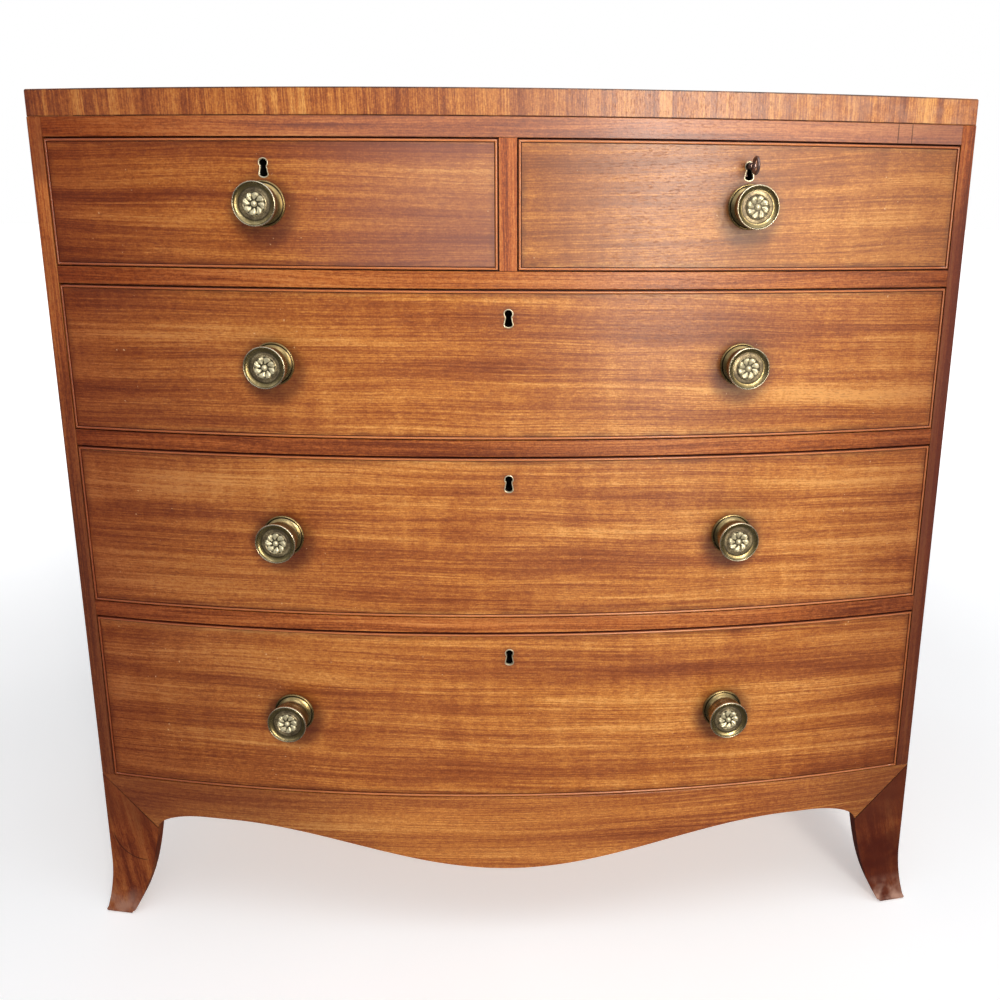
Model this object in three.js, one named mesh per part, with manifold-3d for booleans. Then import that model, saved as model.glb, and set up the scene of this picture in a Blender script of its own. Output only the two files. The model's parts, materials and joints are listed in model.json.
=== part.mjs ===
// Bow front chest of drawers: two short drawers over three long graduated drawers,
// with beaded fronts, a shaped apron and splayed bracket feet.
// Lengths are millimetres. +Z is up and the drawers open towards -Y.

import * as THREE from 'three';
import { mergeVertices } from 'three/addons/utils/BufferGeometryUtils.js';
import Module from 'manifold-3d';

const wasm = await Module();
wasm.setup();

// Overall form: the front bows forward by bowRise between its two corners
const chestWidth = 1070;
const sideDepth = 470;
const bowRise = 60;
const bowFacets = 24;

// Carcase, from the top down
const topThickness = 29;
const topRailHeight = 21.5;
const shortDrawerHeight = 142;
const longDrawerHeights = [173.5, 201, 226];
const railHeight = 19.3;
const baseHeight = 205;
const sideThickness = 17.5;
const dividerWidth = 19.5;
const railDepth = 60;
const dustboardThickness = 10;
const bottomThickness = 15;
const backThickness = 8;

// Fits: glued pieces, sliding pieces and the length by which a cutter runs past a face
const glueGap = 0.3;
const overrun = 5;
const drawerSideClearance = 1;
const drawerFootClearance = 1;
const drawerTopClearance = 1.5;
const runnerClearance = 0.5;
const spaceBehindDrawer = 22;

// Apron and feet
const apronThickness = 22;
const apronCentreDrop = 105;
const apronArchDrop = 48.5;
const apronWaveShare = 0.923;
const apronWaveSteps = 14;
const archRun = 67;
const archSteps = 6;
const footTopWidth = 72.5;
const footToeWidth = 27;
const footLeanShare = 0.55;
const footFlare = 10;
const flareStartShare = 0.61;
const flarePower = 2.2;
const rearBracketThickness = 18;
const footLevels = 9;

// Drawers
const frontThickness = 24;
const drawerSideThickness = 11;
const drawerBackThickness = 9;
const drawerBottomThickness = 7;
const bottomLift = 5;
const drawerSideDrop = 4;
const drawerBackDrop = 8;
const beadWidth = 4;
const beadProud = 1.5;
const beadDepth = 8;

// Knobs: radii from the axis, and heights above the drawer face
const knobOffsetShare = 0.516;
const knobPlateRadius = 25;
const knobPlateHeight = 4.2;
const knobGrooveRadius = 18.2;
const knobGrooveHeight = 5.4;
const knobBodyRadius = 21.6;
const knobWaistRadius = 20.4;
const knobRimRadius = 24;
const knobRimHeight = 28.5;
const knobLipWidth = 1.6;
const knobDishRadius = 17.4;
const knobDishDepth = 3.2;
const rosetteRadius = 12;
const rosetteHeight = 1.9;
const rosetteBeadRadius = 3;
const rosetteBeadHeight = 2.8;
const knobStemRadius = 3.5;
const knobStemReach = 5;
const stemClearance = 0.4;
const knobShoulderShare = 0.22;
const knobWaistShare = 0.58;
const knobSegments = 18;

// Keyholes: a round head over a flared slot, lined with a brass collar
const keyholeOffsetShare = 0.512;
const keyholeRadius = 4.3;
const keyholeWaist = 5.8;
const keyholeSlotRadius = 4.4;
const keyholeSlotDrop = 10.6;
const keyholeTopDistance = 27.5;
const keyholeHeadArc = { from: -40, to: 220, steps: 10 };
const keyholeSlotArc = { from: 165, to: 375, steps: 7 };
const linerWall = 1.5;
const linerDepth = 3;

// Lock of the top right drawer, let into the back of its front
const lockWidth = 50;
const lockHeight = 42;
const lockDepth = 11;
const lockPlateThickness = 2;
const lockPinRadius = 1.2;
const lockPinInset = 1;
const boltWidth = 18;
const boltThickness = 3;
const boltClearance = 0.4;
const boltThrow = 7;
const boltStumpWidth = 6;
const boltStumpHeight = 4;
const boltStumpReach = 4.4;
const boltTopInset = 0.5;
const stumpClearance = 0.8;
const mortiseClearance = 2;

// Key: a piped shank with a flat bit and an oval bow in one plane with the bit
const keyShankRadius = 3;
const keyBoreRadius = 1.7;
const keyBoreDepth = 6;
const keyBitReach = 10;
const keyBitThickness = 2.2;
const keyBitLength = 4;
const keyBitInset = 0.8;
const keyCollarRadius = 4.2;
const keyCollarLength = 2.4;
const keyBowStart = 14;
const keyBowLength = 27;
const keyBowHeight = 21.6;
const keyBowThickness = 3;
const keyBowWire = 3.6;
const keySegments = 14;

// Materials
const mahogany = new THREE.MeshStandardMaterial({ color: 0x9a5630, roughness: 0.42 });
const beadMahogany = new THREE.MeshStandardMaterial({ color: 0x7a3d22, roughness: 0.45 });
const liningWood = new THREE.MeshStandardMaterial({ color: 0xb58f5e, roughness: 0.75 });
const brass = new THREE.MeshStandardMaterial({ color: 0x8d7f55, roughness: 0.35, metalness: 1 });
const steel = new THREE.MeshStandardMaterial({ color: 0x4a4440, roughness: 0.4, metalness: 1 });

// Derived places
const halfWidth = chestWidth / 2;
const bowRadius = (halfWidth ** 2 + bowRise ** 2) / (2 * bowRise);
const facetWidth = chestWidth / bowFacets;
const openingHalf = halfWidth - sideThickness;
const dividerHalf = dividerWidth / 2;
const backFace = sideDepth - backThickness;
const drawerBackFace = backFace - spaceBehindDrawer;
const knobOffset = openingHalf * knobOffsetShare;
const keyholeOffset = openingHalf * keyholeOffsetShare;
const footMitreDrop = footTopWidth;
const mitreStart = halfWidth - footTopWidth;
const apronWaveHalf = (mitreStart - archRun) * apronWaveShare;

// Height of each opening's floor, from the lowest drawer up
const openings = [];
let level = baseHeight;
for (const height of [...longDrawerHeights].reverse()) {
  openings.unshift({ floor: level, height });
  level += height + railHeight;
}
openings.unshift({ floor: level, height: shortDrawerHeight });
const topRailFloor = level + shortDrawerHeight;
const topFloor = topRailFloor + topRailHeight;
const chestHeight = topFloor + topThickness;

// The bowed front as flat facets between points on one arc, so that all fronts lie in one surface
function arcFace(x) {
  return bowRadius - bowRise - Math.sqrt(bowRadius ** 2 - x ** 2);
}

function bowFace(x) {
  const facet = Math.floor((x + halfWidth) / facetWidth);
  const index = Math.min(Math.max(facet, 0), bowFacets - 1);
  const low = index * facetWidth - halfWidth;
  const share = (x - low) / facetWidth;
  return arcFace(low) * (1 - share) + arcFace(low + facetWidth) * share;
}

function bowStations(xLow, xHigh) {
  const stations = [xLow];
  for (let i = 0; i <= bowFacets; i += 1) {
    const x = i * facetWidth - halfWidth;
    if (x > xLow + glueGap && x < xHigh - glueGap) {
      stations.push(x);
    }
  }
  stations.push(xHigh);
  return stations;
}

// Places in the lock, from the front of its pocket to its back plate
const topDrawerCeiling = openings[0].floor + openings[0].height - drawerTopClearance;
const keyAxisHeight = openings[0].floor + openings[0].height - keyholeTopDistance;
const lockFront = bowFace(keyholeOffset) + frontThickness - lockDepth;
const lockBack = lockFront + lockDepth;
const boltFront = lockBack - lockPlateThickness - boltThickness - boltClearance;

// Solids
function extrudeUp(points, zLow, height) {
  const shape = new THREE.Shape(points);
  const geometry = new THREE.ExtrudeGeometry(shape, { depth: height, bevelEnabled: false });
  return geometry.translate(0, 0, zLow);
}

// A shape drawn in X and Z becomes a prism that runs back along +Y from yLow
function extrudeBack(shape, yLow, depth) {
  const geometry = new THREE.ExtrudeGeometry(shape, { depth, bevelEnabled: false });
  geometry.rotateX(Math.PI / 2);
  return geometry.translate(0, yLow + depth, 0);
}

// A shape drawn in Y and Z becomes a prism that runs along +X from xLow
function extrudeAcross(shape, xLow, width) {
  const geometry = new THREE.ExtrudeGeometry(shape, { depth: width, bevelEnabled: false });
  geometry.rotateY(Math.PI / 2);
  geometry.rotateX(Math.PI / 2);
  return geometry.translate(xLow, 0, 0);
}

function block(xLow, xHigh, yLow, yHigh, zLow, zHigh) {
  const geometry = new THREE.BoxGeometry(xHigh - xLow, yHigh - yLow, zHigh - zLow);
  return geometry.translate((xLow + xHigh) / 2, (yLow + yHigh) / 2, (zLow + zHigh) / 2);
}

// A board whose front edge follows the bow, set back by inset, with a straight back edge
function bowBoard(xLow, xHigh, inset, back, zLow, zHigh) {
  const points = bowStations(xLow, xHigh).map((x) => new THREE.Vector2(x, bowFace(x) + inset));
  points.push(new THREE.Vector2(xHigh, back), new THREE.Vector2(xLow, back));
  return extrudeUp(points, zLow, zHigh - zLow);
}

// A panel that follows the bow on both faces
function bowPanel(xLow, xHigh, inset, thickness, zLow, zHigh) {
  const stations = bowStations(xLow, xHigh);
  const points = stations.map((x) => new THREE.Vector2(x, bowFace(x) + inset));
  for (const x of stations.reverse()) {
    points.push(new THREE.Vector2(x, bowFace(x) + inset + thickness));
  }
  return extrudeUp(points, zLow, zHigh - zLow);
}

function signedVolume(positions, indices) {
  const corner = (i) => new THREE.Vector3().fromArray(positions, indices[i] * 3);
  let volume = 0;
  for (let i = 0; i < indices.length; i += 3) {
    volume += corner(i).dot(corner(i + 1).cross(corner(i + 2))) / 6;
  }
  return volume;
}

// A closed skin through rings of equal length, with flat ends
function loft(outlines, flatten) {
  const isClockwise = THREE.ShapeUtils.isClockWise(outlines[0].map(flatten));
  const rings = isClockwise ? outlines.map((outline) => [...outline].reverse()) : outlines;
  const size = rings[0].length;
  const positions = rings.flat().flatMap((point) => [point.x, point.y, point.z]);
  const indices = [];
  for (let r = 0; r + 1 < rings.length; r += 1) {
    for (let i = 0; i < size; i += 1) {
      const a = r * size + i;
      const b = r * size + (i + 1) % size;
      indices.push(a, b, b + size, a, b + size, a + size);
    }
  }
  const last = (rings.length - 1) * size;
  for (const [a, b, c] of THREE.ShapeUtils.triangulateShape(rings[0].map(flatten), [])) {
    indices.push(a, c, b);
  }
  for (const [a, b, c] of THREE.ShapeUtils.triangulateShape(rings.at(-1).map(flatten), [])) {
    indices.push(last + a, last + b, last + c);
  }
  if (signedVolume(positions, indices) < 0) {
    indices.reverse();
  }
  const geometry = new THREE.BufferGeometry();
  geometry.setAttribute('position', new THREE.Float32BufferAttribute(positions, 3));
  geometry.setIndex(indices);
  return geometry;
}

// Boolean joins and cuts
function toSolid(geometry) {
  const bare = geometry.clone();
  bare.deleteAttribute('normal');
  bare.deleteAttribute('uv');
  const merged = mergeVertices(bare);
  return new wasm.Manifold(new wasm.Mesh({
    numProp: 3,
    vertProperties: new Float32Array(merged.attributes.position.array),
    triVerts: new Uint32Array(merged.index.array),
  }));
}

function toGeometry(solid) {
  const mesh = solid.getMesh();
  const geometry = new THREE.BufferGeometry();
  geometry.setAttribute('position', new THREE.BufferAttribute(new Float32Array(mesh.vertProperties), 3));
  geometry.setIndex(new THREE.BufferAttribute(new Uint32Array(mesh.triVerts), 1));
  return geometry;
}

function cut(geometry, ...cutters) {
  return toGeometry(cutters.reduce((solid, cutter) => solid.subtract(toSolid(cutter)), toSolid(geometry)));
}

function join(geometry, ...others) {
  return toGeometry(others.reduce((solid, other) => solid.add(toSolid(other)), toSolid(geometry)));
}

// The group stands on the floor with its origin under the middle of its outer box
const keyReach = keyBowStart + keyBowLength - bowFace(keyholeOffset);
const knobReach = knobRimHeight - bowFace(knobOffset);
const frontReach = Math.max(keyReach, knobReach);
const chest = new THREE.Group();
chest.position.y = (frontReach - sideDepth) / 2;

function addPiece(name, geometry, material) {
  const mesh = new THREE.Mesh(geometry, material);
  mesh.name = name;
  chest.add(mesh);
  return mesh;
}

// Carcase boards
function addTop() {
  addPiece('top_board', bowBoard(-halfWidth, halfWidth, 0, sideDepth, topFloor, chestHeight), mahogany);
}

function skirtProfile() {
  const front = apronThickness + glueGap;
  const points = [
    new THREE.Vector2(-bowRise - overrun, baseHeight),
    new THREE.Vector2(front, baseHeight),
    new THREE.Vector2(front, baseHeight - front + glueGap),
    new THREE.Vector2(footTopWidth, baseHeight - footMitreDrop + glueGap),
  ];
  for (let i = 1; i <= archSteps; i += 1) {
    const angle = (Math.PI / 2) * (i / archSteps);
    const y = footTopWidth + archRun * (1 - Math.cos(angle));
    const rise = (footMitreDrop - apronArchDrop) * Math.sin(angle);
    points.push(new THREE.Vector2(y, baseHeight - footMitreDrop + glueGap + rise));
  }
  const mirrored = points.map((point) => new THREE.Vector2(sideDepth - point.x, point.y)).reverse();
  mirrored.pop();
  const outline = [...points, ...mirrored];
  outline.push(new THREE.Vector2(sideDepth + overrun, baseHeight));
  outline.push(new THREE.Vector2(sideDepth + overrun, -overrun), new THREE.Vector2(-bowRise - overrun, -overrun));
  return new THREE.Shape(outline);
}

function addSides() {
  const skirtFloor = baseHeight - footMitreDrop;
  for (const [name, xLow] of [['side_left', -halfWidth], ['side_right', openingHalf]]) {
    const board = bowBoard(xLow, xLow + sideThickness, 0, sideDepth, skirtFloor, topFloor - glueGap);
    const cutter = extrudeAcross(skirtProfile(), xLow - overrun, sideThickness + 2 * overrun);
    addPiece(name, cut(board, cutter), mahogany);
  }
}

function addBackAndBottom() {
  const edge = openingHalf - glueGap;
  const bottomFloor = baseHeight - bottomThickness;
  const back = block(-edge, edge, backFace, sideDepth, bottomFloor, topFloor - glueGap);
  addPiece('back_board', back, liningWood);
  const inset = apronThickness + glueGap;
  const bottom = bowBoard(-edge, edge, inset, backFace - glueGap, bottomFloor, baseHeight);
  addPiece('bottom_board', bottom, liningWood);
}

function addRails() {
  const edge = openingHalf - glueGap;
  openings.slice(1).forEach((opening, i) => {
    const floor = opening.floor + opening.height;
    const rail = bowBoard(-edge, edge, 0, railDepth, floor, floor + railHeight);
    addPiece(`drawer_rail_${i + 1}`, rail, mahogany);
    const boardFloor = floor + railHeight - dustboardThickness;
    const dustboard = block(-edge, edge, railDepth + glueGap, backFace - glueGap, boardFloor, floor + railHeight);
    addPiece(`dustboard_${i + 1}`, dustboard, liningWood);
  });
}

function addTopRail() {
  const edge = openingHalf - glueGap;
  const rail = bowBoard(-edge, edge, 0, railDepth, topRailFloor, topFloor - glueGap);
  const mortise = block(
    keyholeOffset - boltWidth / 2 - mortiseClearance,
    keyholeOffset + boltWidth / 2 + mortiseClearance,
    boltFront - mortiseClearance,
    boltFront + boltThickness + mortiseClearance,
    topRailFloor - overrun,
    topRailFloor + boltThrow + mortiseClearance,
  );
  addPiece('top_rail', cut(rail, mortise), mahogany);
}

function addDivider() {
  const floor = openings[0].floor + glueGap;
  const ceiling = topRailFloor - glueGap;
  const board = bowBoard(-dividerHalf, dividerHalf, 0, backFace - glueGap, floor, ceiling);
  addPiece('centre_divider', board, mahogany);
}

// Apron: its lower edge is a wave between two arches, and its ends are mitred to the feet
function apronDrop(x) {
  const reach = Math.abs(x);
  if (reach >= mitreStart) {
    return halfWidth - reach;
  }
  if (reach > mitreStart - archRun) {
    const share = (reach - mitreStart + archRun) / archRun;
    return footMitreDrop - (footMitreDrop - apronArchDrop) * Math.sqrt(1 - share ** 2);
  }
  const mean = (apronCentreDrop + apronArchDrop) / 2;
  const swing = (apronCentreDrop - apronArchDrop) / 2;
  return mean + swing * Math.cos(Math.PI * Math.min(reach / apronWaveHalf, 1));
}

function apronStations() {
  const half = [];
  for (let i = 1; i <= apronWaveSteps; i += 1) {
    half.push(apronWaveHalf * (i / apronWaveSteps));
  }
  for (let i = 0; i <= archSteps; i += 1) {
    half.push(mitreStart - archRun + archRun * Math.sin((Math.PI / 2) * (i / archSteps)));
  }
  const end = halfWidth - 2 * glueGap;
  half.push((mitreStart + end) / 2, end);
  return [...half.map((x) => -x).reverse(), 0, ...half];
}

function addApron() {
  const ceiling = baseHeight - glueGap;
  const rings = apronStations().map((x) => {
    const front = bowFace(x);
    const floor = baseHeight - Math.max(apronDrop(x), 2 * glueGap);
    return [
      new THREE.Vector3(x, front, floor),
      new THREE.Vector3(x, front + apronThickness, floor),
      new THREE.Vector3(x, front + apronThickness, ceiling),
      new THREE.Vector3(x, front, ceiling),
    ];
  });
  addPiece('apron', loft(rings, (point) => new THREE.Vector2(point.y, point.z)), mahogany);
}

// Feet: two wings at a corner, which narrow to the toe and flare out near the floor
function footWidth(drop) {
  const share = Math.max((drop - footMitreDrop) / (baseHeight - footMitreDrop), 0);
  const lean = footLeanShare * share + (1 - footLeanShare) * share ** 3;
  return footTopWidth - (footTopWidth - footToeWidth) * lean;
}

function flareAt(drop) {
  const share = (drop / baseHeight - flareStartShare) / (1 - flareStartShare);
  return footFlare * Math.max(share, 0) ** flarePower;
}

function footDrops() {
  const drops = [glueGap, footMitreDrop];
  for (let i = 1; i < footLevels; i += 1) {
    drops.push(footMitreDrop + (baseHeight - footMitreDrop) * (i / (footLevels - 1)));
  }
  return drops;
}

// The outline at one level, as distances in from the chest's side and from its front or back.
// The wing under a front follows the bow.
function footOutline(drop, bracketThickness, isFront) {
  const width = footWidth(drop);
  const flare = flareAt(drop);
  const forward = isFront ? flare : 0;
  const outerFace = -flare;
  const innerFace = sideThickness - flare;
  return [
    { inward: outerFace, back: -forward, onWing: true },
    { inward: width / 2, back: -forward, onWing: true },
    { inward: width, back: -forward, onWing: true },
    { inward: width, back: bracketThickness - forward, onWing: true },
    { inward: innerFace, back: bracketThickness - forward, onWing: true },
    { inward: innerFace, back: width, onWing: false },
    { inward: outerFace, back: width, onWing: false },
  ];
}

function footSolid(side, isFront) {
  const bracketThickness = isFront ? apronThickness : rearBracketThickness;
  const rings = footDrops().map((drop) => {
    const outline = footOutline(drop, bracketThickness, isFront);
    return outline.map(({ inward, back, onWing }) => {
      const face = onWing ? bowFace(halfWidth - Math.max(inward, 0)) : 0;
      const y = isFront ? back + face : sideDepth - back;
      return new THREE.Vector3(side * (halfWidth - inward), y, baseHeight - drop);
    });
  });
  return loft(rings, (point) => new THREE.Vector2(point.x, point.y));
}

// What lies above the mitre between the apron and a front foot
function frontMitreCutter(side) {
  const line = (inward) => new THREE.Vector2(side * (halfWidth - inward), baseHeight - inward - glueGap);
  const far = side * (halfWidth - footTopWidth - overrun);
  const shape = new THREE.Shape([
    line(-overrun),
    line(footTopWidth),
    new THREE.Vector2(far, baseHeight - footTopWidth - glueGap),
    new THREE.Vector2(far, baseHeight + 2 * overrun),
    new THREE.Vector2(side * (halfWidth + overrun), baseHeight + 2 * overrun),
  ]);
  return extrudeBack(shape, -bowRise, bowRise + footTopWidth + overrun);
}

// What lies above the mitre between a side's skirt and a foot
function sideMitreCutter(side, front, bracketThickness) {
  const place = (back) => (front ? back : sideDepth - back);
  const shape = new THREE.Shape([
    new THREE.Vector2(place(bracketThickness), baseHeight + overrun),
    new THREE.Vector2(place(bracketThickness), baseHeight - bracketThickness - glueGap),
    new THREE.Vector2(place(footTopWidth), baseHeight - footTopWidth - glueGap),
    new THREE.Vector2(place(footTopWidth + overrun), baseHeight - footTopWidth - glueGap),
    new THREE.Vector2(place(footTopWidth + overrun), baseHeight + overrun),
  ]);
  const xLow = side > 0 ? openingHalf - overrun : -halfWidth - overrun;
  return extrudeAcross(shape, xLow, sideThickness + 2 * overrun);
}

function addFeet() {
  const boardFloor = baseHeight - bottomThickness - glueGap;
  for (const [word, side] of [['left', -1], ['right', 1]]) {
    const frontFoot = cut(
      footSolid(side, true),
      frontMitreCutter(side),
      sideMitreCutter(side, true, apronThickness),
    );
    addPiece(`foot_front_${word}`, frontFoot, mahogany);
    const inner = [side * (halfWidth - footTopWidth - overrun), side * openingHalf];
    const backLow = sideDepth - footTopWidth - overrun;
    const boardRoom = block(
      Math.min(...inner),
      Math.max(...inner),
      backLow,
      sideDepth + overrun,
      boardFloor,
      baseHeight + overrun,
    );
    const rearFoot = cut(
      footSolid(side, false),
      boardRoom,
      sideMitreCutter(side, false, apronThickness),
    );
    addPiece(`foot_rear_${word}`, rearFoot, mahogany);
  }
}

// The angles along an arc, in radians
function arcTurns({ from, to, steps }) {
  return Array.from({ length: steps + 1 }, (_, i) => {
    const degrees = from + (to - from) * (i / steps);
    return THREE.MathUtils.degToRad(degrees);
  });
}

// Keyhole outline about the centre of its round head, widened all round by wall
function keyholeOutline(centreX, centreZ, wall) {
  const head = keyholeRadius + wall;
  const slot = keyholeSlotRadius + wall;
  const waist = keyholeWaist / 2 + wall;
  const points = [];
  for (const turn of arcTurns(keyholeHeadArc)) {
    points.push(new THREE.Vector2(head * Math.cos(turn), head * Math.sin(turn)));
  }
  points.push(new THREE.Vector2(-waist, -keyholeSlotDrop / 2));
  for (const turn of arcTurns(keyholeSlotArc)) {
    points.push(new THREE.Vector2(slot * Math.cos(turn), slot * Math.sin(turn) - keyholeSlotDrop));
  }
  points.push(new THREE.Vector2(waist, -keyholeSlotDrop / 2));
  return points.map((point) => new THREE.Vector2(centreX + point.x, centreZ + point.y));
}

function addLockCase() {
  const half = lockWidth / 2;
  const inner = half - lockPlateThickness;
  const floor = topDrawerCeiling - lockHeight;
  const slotHalf = boltWidth / 2 + boltClearance;
  const outer = block(
    keyholeOffset - half,
    keyholeOffset + half,
    lockFront,
    lockBack,
    floor,
    topDrawerCeiling,
  );
  const hollow = block(
    keyholeOffset - inner,
    keyholeOffset + inner,
    lockFront - overrun,
    lockBack - lockPlateThickness,
    floor + lockPlateThickness,
    topDrawerCeiling - lockPlateThickness,
  );
  const slot = block(
    keyholeOffset - slotHalf,
    keyholeOffset + slotHalf,
    boltFront - boltClearance,
    boltFront + boltThickness + boltClearance / 2,
    topDrawerCeiling - 2 * lockPlateThickness,
    topDrawerCeiling + overrun,
  );
  const pinFront = lockFront + lockPinInset;
  const pinLength = lockBack - lockPlateThickness / 2 - pinFront;
  const pin = new THREE.CylinderGeometry(lockPinRadius, lockPinRadius, pinLength, keySegments);
  pin.translate(keyholeOffset, pinFront + pinLength / 2, 0);
  pin.translate(0, 0, keyAxisHeight);
  addPiece('top_right_lock_case', join(cut(outer, hollow, slot), pin), brass);
}

function addLockBolt() {
  const half = boltWidth / 2;
  const floor = keyAxisHeight + keyShankRadius + stumpClearance;
  const plate = block(
    keyholeOffset - half,
    keyholeOffset + half,
    boltFront,
    boltFront + boltThickness,
    floor,
    topDrawerCeiling - boltTopInset,
  );
  const stump = block(
    keyholeOffset - boltStumpWidth / 2,
    keyholeOffset + boltStumpWidth / 2,
    boltFront - boltStumpReach,
    boltFront + boltThickness / 2,
    floor,
    floor + boltStumpHeight,
  );
  addPiece('top_right_lock_bolt', join(plate, stump), steel);
}

function addKey() {
  const face = bowFace(keyholeOffset);
  const shankEnd = boltFront - boltClearance;
  const bowFront = face - keyBowStart;
  const profile = [
    [0, bowFront - keyBowWire / 2],
    [keyShankRadius, bowFront - keyBowWire / 2],
    [keyShankRadius, bowFront + keyCollarLength],
    [keyCollarRadius, bowFront + keyCollarLength],
    [keyCollarRadius, bowFront + 2 * keyCollarLength],
    [keyShankRadius, bowFront + 2 * keyCollarLength],
    [keyShankRadius, shankEnd],
    [0, shankEnd],
  ];
  const shank = new THREE.LatheGeometry(profile.map(([r, y]) => new THREE.Vector2(r, y)), keySegments);
  const bore = new THREE.CylinderGeometry(keyBoreRadius, keyBoreRadius, keyBoreDepth + overrun, keySegments);
  bore.translate(0, shankEnd - keyBoreDepth / 2 + overrun / 2, 0);
  const bitFront = lockFront + keyBitInset;
  const bit = block(
    -keyBitThickness / 2,
    keyBitThickness / 2,
    bitFront,
    bitFront + keyBitLength,
    -keyBitReach,
    -keyBoreRadius - stemClearance,
  );
  const bowMiddle = bowFront - keyBowLength / 2;
  const oval = (wire) => new THREE.EllipseCurve(
    bowMiddle,
    0,
    keyBowLength / 2 - wire,
    keyBowHeight / 2 - wire,
  ).getPoints(2 * keySegments).slice(1);
  const shape = new THREE.Shape(oval(0));
  shape.holes.push(new THREE.Path(oval(keyBowWire)));
  const loop = extrudeAcross(shape, -keyBowThickness / 2, keyBowThickness);
  const key = addPiece('key', join(cut(join(shank, bit), bore), loop), steel);
  key.position.set(keyholeOffset, 0, keyAxisHeight);
}

// Drawer knobs: turned plate, groove, body and dished rim about one axis, with a stem behind
function knobProfile() {
  const bodyFloor = knobGrooveHeight + (knobBodyRadius - knobGrooveRadius) / 2;
  const bodyRise = knobRimHeight - bodyFloor;
  const dishFloor = knobRimHeight - knobDishDepth;
  const rosetteTop = dishFloor + rosetteHeight;
  return [
    [0, -frontThickness - knobStemReach],
    [knobStemRadius, -frontThickness - knobStemReach],
    [knobStemRadius, glueGap],
    [knobPlateRadius, glueGap],
    [knobPlateRadius, knobPlateHeight / 2],
    [knobPlateRadius - knobPlateHeight / 2, knobPlateHeight],
    [knobGrooveRadius, knobPlateHeight],
    [knobGrooveRadius, knobGrooveHeight],
    [knobBodyRadius, bodyFloor],
    [knobBodyRadius, bodyFloor + bodyRise * knobShoulderShare],
    [knobWaistRadius, bodyFloor + bodyRise * knobWaistShare],
    [knobRimRadius, knobRimHeight - knobDishDepth],
    [knobRimRadius, knobRimHeight],
    [knobRimRadius - knobLipWidth, knobRimHeight],
    [knobDishRadius, dishFloor],
    [rosetteRadius, dishFloor],
    [rosetteRadius, rosetteTop],
    [rosetteBeadRadius, rosetteTop],
    [rosetteBeadRadius, rosetteTop + rosetteBeadHeight / 2],
    [0, rosetteTop + rosetteBeadHeight],
  ];
}

function addKnob(name, x, z) {
  const profile = knobProfile().map(([radius, height]) => new THREE.Vector2(radius, height));
  const knob = addPiece(name, new THREE.LatheGeometry(profile, knobSegments), brass);
  knob.rotation.set(Math.PI, 0, -Math.asin(x / bowRadius));
  knob.position.set(x, bowFace(x), z);
}

function stemHole(x, z) {
  const radius = knobStemRadius + stemClearance;
  const reach = frontThickness + 2 * overrun;
  const hole = new THREE.CylinderGeometry(radius, radius, 2 * reach, knobSegments / 2);
  hole.rotateZ(Math.asin(x / bowRadius));
  return hole.translate(x, bowFace(x), z);
}

// Drawer fronts and beads
function frontRange(drawer) {
  return {
    xLow: drawer.xLow + drawerSideClearance,
    xHigh: drawer.xHigh - drawerSideClearance,
    zLow: drawer.opening.floor + drawerFootClearance,
    zHigh: drawer.opening.floor + drawer.opening.height - drawerTopClearance,
  };
}

function rebateCutter({ xLow, xHigh, zLow, zHigh }) {
  const inset = beadWidth + glueGap;
  const depth = beadDepth + glueGap;
  const slab = bowPanel(
    xLow - overrun,
    xHigh + overrun,
    -overrun,
    overrun + depth,
    zLow - overrun,
    zHigh + overrun,
  );
  const core = bowPanel(
    xLow + inset,
    xHigh - inset,
    -2 * overrun,
    3 * overrun + depth,
    zLow + inset,
    zHigh - inset,
  );
  return cut(slab, core);
}

function addFront(drawer) {
  const range = frontRange(drawer);
  const { xLow, xHigh, zLow, zHigh } = range;
  const solid = bowPanel(xLow, xHigh, 0, frontThickness, zLow, zHigh);
  const keyhole = extrudeBack(
    new THREE.Shape(keyholeOutline(drawer.keyX, drawer.keyZ, linerWall + glueGap)),
    bowFace(drawer.keyX) - overrun,
    frontThickness + 2 * overrun,
  );
  const cutters = [rebateCutter(range), keyhole];
  cutters.push(...drawer.knobs.map((knob) => stemHole(knob.x, drawer.middle)));
  if (drawer.hasLock) {
    const half = lockWidth / 2 + glueGap;
    cutters.push(block(
      keyholeOffset - half,
      keyholeOffset + half,
      lockFront - glueGap,
      lockBack + 2 * overrun,
      zHigh - lockHeight - glueGap,
      zHigh + overrun,
    ));
  }
  addPiece(`${drawer.name}_drawer_front`, cut(solid, ...cutters), mahogany);
}

function addBead(drawer) {
  const { xLow, xHigh, zLow, zHigh } = frontRange(drawer);
  const outer = bowPanel(xLow, xHigh, -beadProud, beadProud + beadDepth, zLow, zHigh);
  const inner = bowPanel(
    xLow + beadWidth,
    xHigh - beadWidth,
    -overrun,
    2 * overrun + beadDepth,
    zLow + beadWidth,
    zHigh - beadWidth,
  );
  addPiece(`${drawer.name}_drawer_bead`, cut(outer, inner), beadMahogany);
}

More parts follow.
